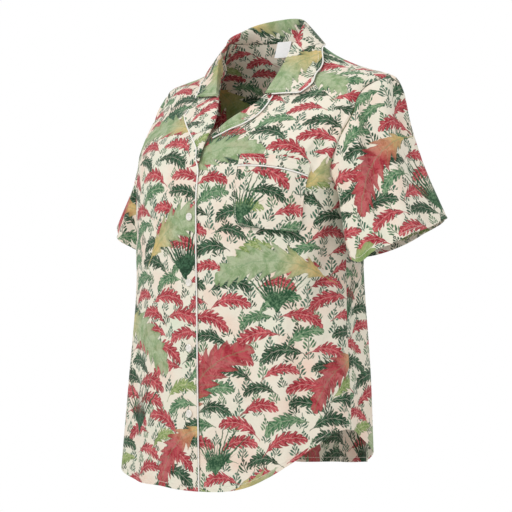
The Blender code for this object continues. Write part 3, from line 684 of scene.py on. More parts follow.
# %% Motif groups
leaf_group = scattered("arched_leaves",
                       ["half_length", "half_width", "arch", "waves", "cut", "rib_gap", "rib", "keep"],
                       ["margin", "hue", "vein", "along"], """
    along = px / half_length
    along_2 = along * along
    bent = arch * along_2
    lifted = bent + py
    sunk = arch * 0.45
    off = lifted - sunk
    gap = ABSOLUTE off
    left = 1 - along_2
    room = MAXIMUM left 0.0001
    swell = room ^ 0.62
    lean_1 = along * 0.38
    lean_2 = lean_1 + 1
    wide = swell * lean_2
    phase = along * waves
    wave = SINE phase
    bite = wave * 0.09
    kept = 1 - bite
    waved = wide * kept
    reach_1 = waved * half_width
    reach = MAXIMUM reach_1 0.001
    blade_1 = reach - gap
    out = ABSOLUTE along
    tip_1 = 1 - out
    tip = tip_1 * half_length
    blade_2 = MINIMUM blade_1 tip
    side_1 = gap * 1.15
    side_2 = px - side_1
    side_3 = side_2 / rib_gap
    side_4 = FRACT side_3
    side_5 = side_4 - 0.5
    side_6 = ABSOLUTE side_5
    between_1 = side_6 * rib_gap
    between = between_1 * 0.66
    outward = gap / reach
    deep = outward - 0.45
    cut_wide = deep * cut
    lobe = between - cut_wide
    blade = MINIMUM blade_2 lobe
    past = 1.2 - out
    stem_long = past * half_length
    stem_wide = 0.7 - gap
    stem_on = MINIMUM stem_long stem_wide
    left_end = along < -0.6
    stem_cut = left_end * 40
    stem_off = stem_cut - 40
    stem = stem_on + stem_off
    whole = MAXIMUM blade stem
    side_line = side_6 > 0.43
    rib_line = gap < rib
    side_soft = side_line * 0.55
    vein = MAXIMUM rib_line side_soft
""")
sprig_group = scattered("paired_sprigs", ["half_height", "reach", "keep"], ["margin", "hue"], """
    bow_1 = py * py
    bow = bow_1 * 0.016
    stem_x = px - bow
    gap = ABSOLUTE stem_x
    high = py / half_height
    high_2 = ABSOLUTE high
    top = 1 - high_2
    stem_end = top * 30
    stem_wide = 0.6 - gap
    stem = MINIMUM stem_wide stem_end
    rise_1 = gap * 1.35
    rise = py - rise_1
    step_1 = rise / 6.8
    step_2 = FRACT step_1
    step_3 = step_2 - 0.5
    step_4 = ABSOLUTE step_3
    off_line = step_4 * 4.05
    taper_1 = 0.75 - high
    taper_2 = MINIMUM taper_1 1
    taper_3 = MAXIMUM taper_2 0.05
    span = reach * taper_3
    share = gap / span
    share_1 = 1 - share
    share_2 = MAXIMUM share_1 0
    share_3 = share * share_2
    fat_1 = share_3 * 7.7
    fat = fat_1 - 0.5
    leaflet_1 = fat - off_line
    low = high + 0.80
    low_2 = low * 30
    hat = 0.95 - high
    hat_2 = hat * 30
    leaflet_2 = MINIMUM leaflet_1 low_2
    leaflet = MINIMUM leaflet_2 hat_2
    whole = MAXIMUM stem leaflet
""")
tuft_group = scattered("grass_tufts", ["height", "keep"], ["margin", "hue"], """
    root_1 = height * 0.5
    root_y = py + root_1
    turned_at = ARCTAN2 px root_y
    far_1 = px * px
    far_2 = root_y * root_y
    far_3 = far_1 + far_2
    far = SQRT far_3
    curl_1 = far * 0.0022
    curl_2 = turned_at * curl_1
    spread = turned_at - curl_2
    blades = spread * 9.5
    blade_n = FLOOR blades
    blade_f = FRACT blades
    centred = blade_f - 0.5
    off_1 = ABSOLUTE centred
    off = off_1 * far
    off_mm = off / 9.5
    draw_1 = blade_n * 12.9898
    draw_2 = SINE draw_1
    draw_3 = draw_2 * 437.58
    draw = FRACT draw_3
    tall_1 = draw * 0.45
    tall_2 = tall_1 + 0.55
    blade_tall = tall_2 * height
    share = far / blade_tall
    left = 1 - share
    left_2 = MAXIMUM left 0
    fat_1 = left_2 ^ 0.6
    fat_2 = fat_1 * 2.7
    fat = fat_2 - 0.5
    blade = fat - off_mm
    leaning = ABSOLUTE spread
    in_fan = 0.66 - leaning
    fan_2 = in_fan * 30
    whole = MINIMUM blade fan_2
""")
print("motifs:", len(leaf_group.nodes), len(sprig_group.nodes), len(tuft_group.nodes), "nodes")

# %% [markdown]
# ### Mixing the paints
# The ground is unbleached cream with faint washes.  Each hue has a thin and a thick paint, and a
# cloudy noise mixes the two, as wet pigment dries.  Rims are darker, veins are lighter, and a fine
# grain stands for the paper the design was painted on.  Broad leaves carry an ochre wash.
# The weave is far finer than a render can show, so it is drawn as slubs, about a millimetre wide
# and seven to nine long.

# %% The paints and the motifs' settings
# A motif's paints say from which drawn number on each thick and thin pair is used; veil is how
# much the motif covers, and a washed one is mottled and has the ochre.
Motif = namedtuple("Motif", "group settings paints veil washed")
CRIMSON = ("#9f2735", "#d8646a")
PINE = ("#183b25", "#456f51")
LEAF = ("#3b6c48", "#89ab82")
MOSS = ("#7a9450", "#b3c184")
SAGE = ("#869f70", "#cad3b0")
SPRIG = ("#2f5b46", "#6d937b")
GRASS = ("#264f34", "#6c906c")
SMALL_LEAF = dict(pitch_x=72, pitch_y=50, half_length=30, cut=3.0, rib_gap=8.4, rib=0.5)
SMALL_SPRIG = dict(pitch_x=27, pitch_y=38, reach=10.2)
MOTIFS = [
    Motif(sprig_group, SMALL_SPRIG | dict(start=0.0, seed=11, tilt=0.6, lean=0.0, half_height=12.5,
                                          keep=0.94), [(0.0, SPRIG), (0.55, LEAF)], 1.0, False),
    Motif(sprig_group, SMALL_SPRIG | dict(start=0.5, seed=12, tilt=0.8, lean=0.05, half_height=11,
                                          keep=0.90), [(0.0, SPRIG), (0.6, PINE)], 1.0, False),
    Motif(leaf_group, SMALL_LEAF | dict(start=0.0, seed=3, tilt=0.7, lean=0.0, half_width=10.0, arch=11,
                                        waves=5, keep=0.98),
          [(0.0, CRIMSON), (0.52, PINE), (0.80, LEAF), (0.93, MOSS)], 1.0, False),
    Motif(leaf_group, SMALL_LEAF | dict(start=0.5, seed=7, tilt=0.8, lean=0.1, half_width=9.4, arch=10,
                                        waves=6, keep=0.96),
          [(0.0, PINE), (0.32, CRIMSON), (0.76, LEAF), (0.90, MOSS)], 1.0, False),
    Motif(tuft_group, dict(pitch_x=214, pitch_y=232, start=0.35, seed=21, tilt=0.2, lean=0.0,
                           height=104, keep=0.90), [(0.0, GRASS), (0.7, PINE)], 1.0, False),
    Motif(leaf_group, dict(pitch_x=206, pitch_y=158, start=0.2, seed=31, tilt=1.9, lean=0.5, half_length=78,
                           half_width=30, arch=24, waves=4, cut=13, rib_gap=17, rib=1.0, keep=0.84),
          [(0.0, SAGE), (0.50, CRIMSON), (0.76, MOSS)], 0.92, True),
]
print("print:", len(MOTIFS), "lattices of motifs")


# %% Laying paint on paint
def picked_paint(tree, draw, paints, which):
    """A ramp in flat steps: the drawn number picks one of the motif's paints."""
    ramp = add_node(tree, "ShaderNodeValToRGB", (draw,))
    ramp.color_ramp.interpolation = "CONSTANT"
    for at, _ in paints[1:]:
        ramp.color_ramp.elements.new(at)
    ramp.color_ramp.elements.remove(ramp.color_ramp.elements[-1])
    for element, (at, pair) in zip(ramp.color_ramp.elements, paints):
        element.position, element.color = at, paint(pair[which])
    return ramp.outputs[0]


def painted_over(tree, colour, *coats):
    """A colour under some coats of paint, each with its share, its colour and how it mixes."""
    for share, coat, blend in coats:
        colour = add_node(tree, "ShaderNodeMix", {0: share, 6: colour, 7: coat}, data_type="RGBA",
                          blend_type=blend, clamp_factor=True).outputs[2]
    return colour


def painted_motif(tree, motif, shared, ground):
    """The ground's colour with one motif painted on it."""
    group = add_node(tree, "ShaderNodeGroup", motif.settings | {"x": shared["x"], "y": shared["y"]},
                     node_tree=motif.group)
    thick, thin = (picked_paint(tree, group.outputs["hue"], motif.paints, which) for which in (0, 1))
    coats = [(shared["thin_2" if motif.washed else "thin"], thin, "MIX")]
    edge = work_out(tree, """
        cover_1 = margin / 0.9
        cover_2 = cover_1 + 0.5
        cover_3 = MAXIMUM cover_2 0
        cover_4 = MINIMUM cover_3 1
        cover = cover_4 * veil
        rim_1 = margin / 2.6
        rim_2 = 1 - rim_1
        rim_3 = MAXIMUM rim_2 0
        rim_4 = MINIMUM rim_3 1
        rim = rim_4 * 0.30
    """, {"margin": group.outputs["margin"], "veil": motif.veil})
    if motif.washed:
        ochre = work_out(tree, """
            base_1 = -0.15 - along
            base_2 = base_1 * 1.5
            base_3 = MAXIMUM base_2 0
            mottled = cloud * 1.7
            ochre = base_3 * mottled
        """, {"along": group.outputs["along"], "cloud": shared["cloud"]})["ochre"]
        coats += [(shared["bloom"], paint("#6f8f62"), "MULTIPLY"), (ochre, paint("#d8bb78"), "MIX")]
    if motif.group == leaf_group:
        vein = work_out(tree, "line = vein * share",
                        {"vein": group.outputs["vein"], "share": 0.34 if motif.washed else 0.26})["line"]
        coats.append((vein, paint("#6f9468" if motif.washed else "#ecdccb"), "MIX"))
    coats.append((edge["rim"], paint("#6a6f58"), "MULTIPLY"))
    return painted_over(tree, ground, (edge["cover"], painted_over(tree, thick, *coats), "MIX"))


# %% The printed cotton
STITCH_LINE, STITCH_LENGTH = 0.0065, 0.0032     # metres in from the edge, and one stitch with its gap
Noise = namedtuple("Noise", "stretch scale detail roughness distortion")
NOISES = {
    "wobble": Noise((1, 1, 1), 95.0, 2.0, 0.55, 0.0),          # a brush hand's tremor
    "cloud": Noise((1, 1, 1), 60.0, 4.0, 0.68, 0.0),           # pigment that pooled and dried
    "wash": Noise((1, 1, 1), 16.0, 2.0, 0.5, 0.0),             # faint washes of the ground
    "grain": Noise((1, 1, 1), 330.0, 1.0, 0.5, 0.0),           # the paper of the design
    "slub": Noise((700.0, 150.0, 1), 1.0, 2.0, 0.5, 0.0),      # warp threads
    "weft": Noise((110.0, 800.0, 1), 1.0, 1.0, 0.5, 0.0),      # weft threads
    "crumple": Noise((1, 1, 1), 26.0, 3.0, 0.5, 0.6),          # the creases of wear
}


def printed_cotton(name, roughness):
    """Cotton poplin with the botanical print, mapped to its cut."""
    made, tree, surface = new_material(name, {
        "Roughness": roughness, "Specular IOR Level": 0.25, "Sheen Weight": 0.08, "Sheen Roughness": 0.5})
    cut = add_node(tree, "ShaderNodeUVMap", uv_map="cut").outputs[0]
    noises = {}
    for kind, noise in NOISES.items():
        spread = add_node(tree, "ShaderNodeMapping", {"Vector": cut, "Scale": noise.stretch})
        noises[kind] = add_node(tree, "ShaderNodeTexNoise", {
            "Vector": spread.outputs[0], "Scale": noise.scale, "Detail": noise.detail,
            "Roughness": noise.roughness, "Distortion": noise.distortion}, noise_dimensions="2D")
    grey = {kind: node.outputs[0] for kind, node in noises.items()}
    place = add_node(tree, "ShaderNodeSeparateXYZ", (cut,))
    shake = add_node(tree, "ShaderNodeSeparateColor", (noises["wobble"].outputs["Color"],))
    shared = work_out(tree, """
        x_mm = u * 1000
        y_mm = v * 1000
        shake_x = r * 4.6
        shake_y = g * 4.6
        x = x_mm + shake_x
        y = y_mm + shake_y
        thin_1 = cloud - 0.38
        thin_2 = thin_1 * 2.6
        grain_1 = grain - 0.5
        grain_2 = grain_1 * 1.9
        thin = thin_2 + grain_2
        bloom_1 = cloud - 0.56
        bloom_2 = bloom_1 * 7
        bloom_3 = MAXIMUM bloom_2 0
        bloom_4 = MINIMUM bloom_3 1
        bloom = bloom_4 * 0.42
        pink_1 = wash - 0.50
        pink = pink_1 * 2.6
        green_1 = 0.47 - wash
        green = green_1 * 2.6
        green_2 = MAXIMUM green 0
        pink_2 = MAXIMUM pink 0
    """, grey | {"u": place.outputs[0], "v": place.outputs[1], "r": shake.outputs[0], "g": shake.outputs[1]})
    colour = painted_over(tree, paint("#ece4d3"), (shared["pink_2"], paint("#efcfbd"), "MIX"),
                          (shared["green_2"], paint("#dde3cd"), "MIX"))
    for motif in MOTIFS:
        colour = painted_motif(tree, motif, shared, colour)
    sewn = add_node(tree, "ShaderNodeSeparateXYZ",
                    (add_node(tree, "ShaderNodeUVMap", uv_map="edging").outputs[0],))
    woven = work_out(tree, """
        threads_1 = slub + weft
        threads = threads_1 * 0.5
        grey_1 = threads - 0.5
        grey_2 = grey_1 * 0.42
        grey = grey_2 + 0.5
        off_line = from_edge - stitch_line
        off_1 = ABSOLUTE off_line
        off_2 = off_1 / 0.0011
        off_3 = 1 - off_2
        dip = MAXIMUM off_3 0
        sewn = dip * 1.1
        height = threads - sewn
        dash_1 = run / stitch_length
        dash_2 = FRACT dash_1
        dash = dash_2 < 0.74
        fine_1 = off_1 < 0.0005
        stitch = fine_1 * dash
        stitch_2 = stitch * 0.55
    """, grey | {"run": sewn.outputs[0], "from_edge": sewn.outputs[1],
                 "stitch_line": STITCH_LINE, "stitch_length": STITCH_LENGTH})
    weave = add_node(tree, "ShaderNodeCombineColor", [woven["grey"]] * 3)
    colour = painted_over(tree, colour, (0.55, weave.outputs[0], "SOFT_LIGHT"),
                          (woven["stitch_2"], paint("#ece4d6"), "MIX"))
    tree.links.new(colour, surface.inputs["Base Color"])
    worn = add_node(tree, "ShaderNodeBump", {"Strength": 0.5, "Distance": 0.006, "Height": grey["crumple"]})
    bump = add_node(tree, "ShaderNodeBump", {"Strength": 0.35, "Distance": 0.0006, "Height": woven["height"],
                                             "Normal": worn.outputs[0]})
    tree.links.new(bump.outputs[0], surface.inputs["Normal"])
    return made


cotton = printed_cotton("printed_cotton_poplin", 0.86)
facing = printed_cotton("printed_cotton_poplin_faced", 0.82)
print("print:", len(cotton.node_tree.nodes), "nodes")

# %% [markdown]
# ## Fronts and back
# Each panel runs from the hem to the side neck: level rows of threads above the underarm, and
# below it rows that lean over to follow the curved shirt-tail hem.  The right front laps over the
# left one.  Along every sewn edge the cloth rolls in a little, with the small puckers that a
# thread pulls into it, and that shadow line is what shows a seam from a distance.

# %% Seams, laps and panel edges
LAP_LIFT = 0.0030           # how far the right front lies over the left one
LAP_TURNS, LAP_HEIGHTS = (-45, -8), (-0.130, -0.050)
EDGE_DROP = 0.2             # below the underarm, a panel's side edges are read down to here
HALF_GAP = 0.00005          # sewn edges all but meet
BODY_ROWS, ARM_STEPS, SHOULDER_ROWS = 126, 60, 24
FRONT_COLUMNS, BACK_COLUMNS = 76, 136
SEAM_ROLL, SEAM_REACH = 0.0008, 0.0042
PUCKER_HEIGHT, PUCKER_LENGTH = 0.00022, 0.013
PUCKER_REACH, THREAD_HOLD = 2.2 * SEAM_REACH, 0.002     # how far puckers run, and where they start
UNEVEN, UNEVEN_RATE = 1.7, 61                           # no two puckers are the same length


def drawn_in(points, around=False):
    """The grid with its open borders drawn in by half a seam gap."""
    moved = points.copy()
    moved[0] += unit(points[1] - points[0]) * HALF_GAP
    moved[-1] += unit(points[-2] - points[-1]) * HALF_GAP
    if not around:
        moved[:, 0] += unit(points[:, 1] - points[:, 0]) * HALF_GAP
        moved[:, -1] += unit(points[:, -2] - points[:, -1]) * HALF_GAP
    return moved


def rolled_in(points, from_seam, along_seam, around=False):
    """The cloth turned in towards a seam, with puckers; both distances are in metres."""
    dip = SEAM_ROLL * np.exp(-(from_seam / SEAM_REACH) ** 2)
    drift = UNEVEN * np.sin(along_seam * UNEVEN_RATE)
    wave = np.sin(along_seam * 2 * math.pi / PUCKER_LENGTH + drift)
    near, held = np.exp(-(from_seam / PUCKER_REACH) ** 2), np.exp(-(from_seam / THREAD_HOLD) ** 2)
    pucker = PUCKER_HEIGHT * wave * near * (1 - held)
    return points - grid_normals(points, around) * (dip + pucker)[..., None]


def armhole_heights():
    """Heights round the armhole, close together where its edge runs level."""
    middle, half = (ARMHOLE_TOP_Z + ARMHOLE_BASE_Z) / 2, (ARMHOLE_TOP_Z - ARMHOLE_BASE_Z) / 2
    return middle - half * np.cos(np.linspace(0, math.pi, ARM_STEPS + 1))


def panel_rows(first_turns, last_turns, columns):
    """Turns and heights of a panel's points, given its two side edges as functions of height."""
    turns, heights = [], []
    for share in np.linspace(0, 1, BODY_ROWS + 1)[:-1]:
        low = ARMHOLE_BASE_Z - EDGE_DROP * (1 - share)
        turn = np.linspace(first_turns(low), last_turns(low), columns)
        hem = read(HEM, "z", np.where(turn > 180, turn - 360, turn))
        turns.append(turn)
        heights.append(hem * (1 - share) + ARMHOLE_BASE_Z * share)
    shoulder = np.linspace(ARMHOLE_TOP_Z, NECK_Z, SHOULDER_ROWS + 1)[1:]
    for z in np.concatenate([armhole_heights(), shoulder]):
        turns.append(np.linspace(first_turns(z), last_turns(z), columns))
        heights.append(np.full(columns, z))
    return np.array(turns), np.array(heights)


def outer_edge(z, column):
    """The turn of the side seam, the armhole or the shoulder seam at a height."""
    if ARMHOLE_BASE_Z < z < ARMHOLE_TOP_Z:
        return armhole_turn(z, column)
    return 90.0


def lap_lift(turn, z):
    """How far out the right front lies, to pass over the left one."""
    return LAP_LIFT * ease(turn, *LAP_TURNS) * (1 - ease(z, *LAP_HEIGHTS))


def right_lap(turn, z):
    """The same lift, but only on the wearer's right, where turns are below zero."""
    return np.where((turn < 0) & (turn > -90), lap_lift(turn, z), 0.0)


def hem_edging(points):
    """Where each thread lies along the hem, and how far up from it."""
    return np.stack([arc(points, 1), arc(points, 0)], axis=-1)


def seamed(points, sides):
    """A panel rolled in at its sewn sides: its first column, its last one or both."""
    across, up = arc(points, 1), arc(points, 0)
    for side in sides:
        off = across if side == 0 else across[:, [-1]] - across
        points = rolled_in(points, off, up)
    return points


# %% Panel grids
left_rows = panel_rows(lambda z: turn_at_width(read(LEFT_EDGE, "x", z), z),
                       lambda z: outer_edge(z, "front_y"), FRONT_COLUMNS)
right_rows = panel_rows(lambda z: -outer_edge(z, "front_y"),
                        lambda z: turn_at_width(read(RIGHT_EDGE, "x", z), z), FRONT_COLUMNS)
back_rows = panel_rows(lambda z: outer_edge(z, "back_y"),
                       lambda z: 360 - outer_edge(z, "back_y"), BACK_COLUMNS)
left = drawn_in(torso_point(*left_rows))
right = drawn_in(on_body(*right_rows, lap_lift(*right_rows)))
back = drawn_in(torso_point(*back_rows))
front_left = cloth_piece("front_left_cotton", seamed(left, [-1]), cotton, (0.31, 0.10), hem_edging(left))
front_right = cloth_piece("front_right_cotton", seamed(right, [0]), cotton, (-0.022, 0.04), hem_edging(right))
back_panel = cloth_piece("back_cotton", seamed(back, [0, -1]), cotton, (0.90, 0.33), hem_edging(back))

# %% [markdown]
# ## Sleeves
# A set-in sleeve leaves the armhole at right angles to it and then falls, so each lengthwise
# thread is a curve that leaves along the shoulder and arrives at the cuff.  The cuff is an oval
# that dips at the front.  A few long folds run down each sleeve from the cap, and short ones
# gather where the underarm is held.

# %% Sleeve sizes and folds
SLEEVE_ROWS = 76
UNDERARM_PULL, UNDERARM_DROP, SIDE_PULL = 0.050, 0.070, 0.025
CUFF_PULL = np.array([0.052, 0.001, -0.144])
CUFF_FLARE = 0.058
CUFF_SAG, SAG_TURN = 0.0086, math.radians(58)
FRONT_SAG = 0.35                            # the left cuff is caught up along its front
CORNER_REACH, CORNER_DROP = np.array([-0.002, -0.013, 0.0]), 0.0100     # and hangs at its corner
REACH_TURN, REACH_SPREAD, DROP_TURN, DROP_SPREAD = 248, 36, 266, 20
CAP_HOLLOW, SLEEVE_SLACK = 0.0060, 0.0012   # the cap stands up, then the sleeve sinks
SUNK_FROM, SUNK_TO, CAP_HELD = (0.20, 0.46), (0.50, 0.92), (0.0, 0.22)
RIGHT_FOLDS_TURN = 11                       # so that the two sleeves don't crease alike
Sleeve = namedtuple("Sleeve", "centre outer back cap_pull cap_rise")
SLEEVES = {     # 1 is the wearer's left; both are drawn on the +X side, and the right one is mirrored
    1: Sleeve((0.2486, -0.0060, -0.2891), (0.0470, 0.0000, 0.0183), (0.0000, 0.0846, 0.0215), 0.062, 0.050),
    -1: Sleeve((0.2330, -0.0060, -0.2724), (0.0470, 0.0000, 0.0215), (0.0000, 0.0846, 0.0190), 0.062, 0.022),
}
# A sleeve's folds: turns are from the cap's top, 90 to the rear and -90 to the front, and the
# second number is the share of the way from the armhole to the cuff.
SLEEVE_METRES_A_DEGREE = 0.0013
SLEEVE_LENGTH = 0.20
SLEEVE_FOLDS = [
    Crease(-18, 0.05, -30, 1.30, 0.017, 0.0032), Crease(-44, 0.02, -52, 1.25, 0.013, -0.0034),
    Crease(-70, 0.10, -74, 1.20, 0.013, 0.0030), Crease(-96, 0.20, -92, 1.30, 0.014, -0.0028),
    Crease(12, 0.20, 8, 1.40, 0.019, -0.0024), Crease(36, 0.04, 30, 1.20, 0.018, 0.0034),
    Crease(62, 0.10, 60, 1.30, 0.014, -0.0030), Crease(88, 0.06, 92, 1.30, 0.017, 0.0032),
    Crease(118, 0.30, 120, 1.40, 0.016, -0.0026), Crease(-124, 0.30, -118, 1.30, 0.015, 0.0024),
    # short gathers just below the cap, front and rear
    Crease(-28, 0.02, -36, 0.62, 0.008, 0.0032), Crease(-50, 0.02, -54, 0.58, 0.008, -0.0032),
    Crease(-6, 0.04, -12, 0.66, 0.009, -0.0022), Crease(44, 0.02, 50, 0.60, 0.008, 0.0028),
    Crease(66, 0.03, 70, 0.55, 0.008, -0.0026),
]
print("sleeve folds:", len(SLEEVE_FOLDS))


# %% Sleeve grids
def sleeve_drape(turn, share):
    """How far a sleeve's folds lift its cloth."""
    lift = folds_lift(SLEEVE_FOLDS, turn, share, SLEEVE_METRES_A_DEGREE, SLEEVE_LENGTH)
    outside = (1 + np.cos(np.radians(turn))) / 2
    sunk = CAP_HOLLOW * outside * ease(share, *SUNK_FROM) * (1 - ease(share, *SUNK_TO))
    return (lift - (SLEEVE_SLACK + sunk)) * ease(share, *CAP_HELD)


def sleeve_grid(side):
    """A tube from the cuff up to the armhole; its columns start and end at the underarm."""
    heights = armhole_heights()
    rear_edge = [torso_point(side * armhole_turn(z, "back_y"), z) for z in heights[::-1]]
    front_edge = [torso_point(side * armhole_turn(z, "front_y"), z) for z in heights[1:-1]]
    armhole = np.array(rear_edge + front_edge) * np.array([side, 1, 1])
    round_it = np.linspace(0, 2 * math.pi, len(armhole), endpoint=False)
    top, rear = np.cos(round_it)[:, None], np.sin(round_it)[:, None]
    high = (1 + top) / 2
    sleeve = SLEEVES[side]
    cuff = np.array(sleeve.centre) + np.array(sleeve.outer) * top + np.array(sleeve.back) * rear
    across_cuff = np.sin(round_it - side * SAG_TURN)
    if side > 0:
        turn = np.degrees(round_it)
        cuff[:, 2] -= CUFF_SAG * across_cuff ** 2 * np.where(across_cuff < 0, FRONT_SAG, 1.0)
        cuff += CORNER_REACH * np.exp(-((turn - REACH_TURN) / REACH_SPREAD) ** 2)[:, None]
        cuff[:, 2] -= CORNER_DROP * np.exp(-((turn - DROP_TURN) / DROP_SPREAD) ** 2)
    else:
        cuff[:, 2] -= CUFF_SAG * across_cuff ** 2
    leave = (np.array([1, 0, 0]) * (UNDERARM_PULL + (sleeve.cap_pull - UNDERARM_PULL) * high)
             + np.array([0, SIDE_PULL, 0]) * rear
             + np.array([0, 0, 1]) * (sleeve.cap_rise * high - UNDERARM_DROP * (1 - high)))
    arrive = CUFF_PULL + np.array([CUFF_FLARE, 0, 0]) * high
    shares = np.linspace(1, 0, SLEEVE_ROWS)
    points = np.array([hermite(armhole, leave, cuff, arrive, t) for t in shares])
    folds_turn = 0 if side > 0 else RIGHT_FOLDS_TURN
    lift = sleeve_drape(np.degrees(round_it)[None, :] + folds_turn, shares[:, None])
    points = points + grid_normals(points, around=True) * lift[..., None]
    if side < 0:
        points = points[:, ::-1] * np.array([-1, 1, 1])
    points = drawn_in(points, around=True)
    from_armhole = arc(points, 0)[[-1]] - arc(points, 0)
    points = rolled_in(points, from_armhole, arc(points, 1), around=True)
    start = ARM_STEPS if side > 0 else len(armhole) - 1 - ARM_STEPS
    points = np.roll(points, -start, axis=1)
    return np.concatenate([points, points[:, :1]], axis=1)


sleeves = {}
for side, word, bolt_place in ((1, "left", (-0.36, 0.52)), (-1, "right", (1.47, -0.20))):
    grid = sleeve_grid(side)
    sleeves[word] = cloth_piece(f"sleeve_{word}_cotton", grid, cotton, bolt_place, hem_edging(grid),
                                around=True)

# %% [markdown]
# ## Collar
# A notched pajama collar is one strip: it stands up from the neck seam, rolls over, and falls to
# its outer edge on the shoulders.  The roll is softer and fuller at the back.  A table gives the
# roll and the outer edge at stations along the neck seam, and each thread from edge to seam is
# two smooth curves that meet at the roll.

# %% Collar stations
# along goes from the right front end, at 0, round the back of the neck to the left one, at 1.
Collar = namedtuple("Collar", "along roll_x roll_y roll_z edge_turn edge_z puff")
COLLAR = [
    Collar(0.00, -0.0360, -0.0890, -0.0790, -19.3, -0.0820, 0.010),
    Collar(0.09, -0.0480, -0.0740, -0.0600, -21.8, -0.0640, 0.012),
    Collar(0.18, -0.0610, -0.0580, -0.0350, -30.0, -0.0500, 0.014),
    Collar(0.26, -0.0700, -0.0400, -0.0100, -52.0, -0.0390, 0.016),
    Collar(0.34, -0.0690, -0.0120, 0.0150, -82.0, -0.0260, 0.018),
    Collar(0.43, -0.0500, 0.0160, 0.0340, -122.0, -0.0160, 0.020),
    Collar(0.52, 0.0000, 0.0320, 0.0415, -180.0, -0.0110, 0.020),
    Collar(0.61, 0.0450, 0.0160, 0.0350, -237.0, -0.0040, 0.010),
    Collar(0.70, 0.0655, -0.0120, 0.0200, -278.0, -0.0125, 0.010),
    Collar(0.78, 0.0730, -0.0400, -0.0060, -305.0, -0.0302, 0.012),
    Collar(0.86, 0.0740, -0.0620, -0.0360, -328.0, -0.0530, 0.016),
    Collar(0.94, 0.0680, -0.0780, -0.0610, -326.5, -0.0727, 0.014),
    Collar(1.00, 0.0610, -0.0888, -0.0800, -328.0, -0.0836, 0.010),
]
print("collar:", len(COLLAR), "stations, highest at", max(row.roll_z for row in COLLAR))

# %% Collar grid
COLLAR_FROM_Z, COLLAR_TO_Z = -0.0820, -0.0805       # where its two front ends meet the lapels
COLLAR_COLUMNS, FALL_ROWS, STAND_ROWS = 170, 24, 14
COLLAR_LIFT = 0.0048                # of its fall over the body
THICK = 0.0013                      # the wall of two layers, at the collar and the pocket
SEAM_OUT = 0.0014                   # in front the stand is sewn to the outside of the neck edge
BACK_IN, BACK_UP = 0.0025, 0.0008   # behind it moves in by this much and stands on the back's top edge
BACK_FROM, BACK_TO = (0.30, 0.42), (0.62, 0.74)
NECK_TOP_Z, END_ROOM = NECK_Z - 0.001, 0.002
MOST_PUSH = 0.02                    # how far a point may be moved in one go


def spaced(points, count):
    """Points at even steps along a path, with anything that rides on each point."""
    length = np.concatenate([[0], np.cumsum(np.linalg.norm(np.diff(points[:, :3], axis=0), axis=1))])
    wanted = np.linspace(0, length[-1], count)
    return np.stack([np.interp(wanted, length, points[:, k]) for k in range(points.shape[1])], axis=1)


def border_between(points, column, low, high):
    """A panel's edge column between two heights, going up: each point with its normal."""
    both = np.concatenate([points[:, column], grid_normals(points)[:, column]], axis=1)
    heights = both[:, 2]
    between = (heights > low + END_ROOM) & (heights < high - END_ROOM)
    wanted = np.concatenate([[low], heights[between], [high]])
    return np.stack([np.interp(wanted, heights, both[:, k]) for k in range(6)], axis=1)


def clear_of_body(points, lift):
    """Points pushed out until they lie at least this far off the body form, where it is below."""
    for _ in range(3):
        z = np.minimum(points[:, 2], NECK_Z)
        turn = turn_of(points[:, 0], points[:, 1], z)
        normal = torso_normal(turn, z)
        off = np.sum((points - torso_point(turn, z)) * normal, axis=1)
        points = points + normal * np.clip(lift + right_lap(turn, z) - off, 0, MOST_PUSH)[:, None]
    return points


def collar_grid():
    """Fall, roll and stand in one piece; rows go from the outer edge up and over to the seam."""
    right_part = border_between(right, -1, COLLAR_FROM_Z, NECK_TOP_Z)
    left_part = border_between(left, 0, COLLAR_TO_Z, NECK_TOP_Z)[::-1]
    back_part = np.concatenate([back[-1], grid_normals(back)[-1]], axis=1)[::-1]
    seam = spaced(np.concatenate([right_part, back_part, left_part]), COLLAR_COLUMNS)
    along = np.linspace(0, 1, COLLAR_COLUMNS)
    behind = ease(along, *BACK_FROM) * (1 - ease(along, *BACK_TO))
    base = seam[:, :3] + unit(seam[:, 3:]) * (SEAM_OUT - BACK_IN * behind)[:, None]
    base[:, 2] += BACK_UP * behind
    roll = np.stack([read(COLLAR, name, along) for name in ("roll_x", "roll_y", "roll_z")], axis=1)
    edge_turn, edge_z = read(COLLAR, "edge_turn", along), read(COLLAR, "edge_z", along)
    edge = on_body(edge_turn, edge_z, COLLAR_LIFT + right_lap(edge_turn, edge_z))
    outward = unit((edge - roll) * np.array([1, 1, 0]))
    puff = outward * read(COLLAR, "puff", along)[:, None]
    stand_height = np.linalg.norm(roll - base, axis=1)[:, None]
    rows = [clear_of_body(hermite(roll, puff, edge, edge - roll, t), COLLAR_LIFT)
            for t in np.linspace(1, 0, FALL_ROWS + 1)[:-1]]
    rows += [hermite(base, roll - base, roll, outward * stand_height * 0.5, t)
             for t in np.linspace(1, 0, STAND_ROWS)]
    return np.array(rows)[:, ::-1]


def edge_distances(points, sides):
    """Along-edge and from-edge lengths to the nearest of some borders of a grid."""
    across, up = arc(points, 1), arc(points, 0)
    choices = {
        "low": (up, across), "high": (up[[-1]] - up, across),
        "first": (across, up), "last": (across[:, [-1]] - across, up),
    }
    off = np.stack([choices[side][0] for side in sides])
    run = np.stack([choices[side][1] for side in sides])
    nearest = off.argmin(0)[None]
    return np.stack([np.take_along_axis(run, nearest, 0)[0], np.take_along_axis(off, nearest, 0)[0]], axis=-1)


collar = collar_grid()
collar_piece = cloth_piece("collar_cotton", collar, facing, (0.62, 0.84),
                           edge_distances(collar, ["low", "first", "last"]), wall=THICK)

# %% [markdown]
# ## Lapels
# Below the collar each front is folded back on itself, and its facing shows.  The fold is a soft
# roll that stands a few millimetres off the chest, fuller at the top than where it breaks at the
# first button.  The right lapel is broad; the left one is mostly hidden by its own roll.

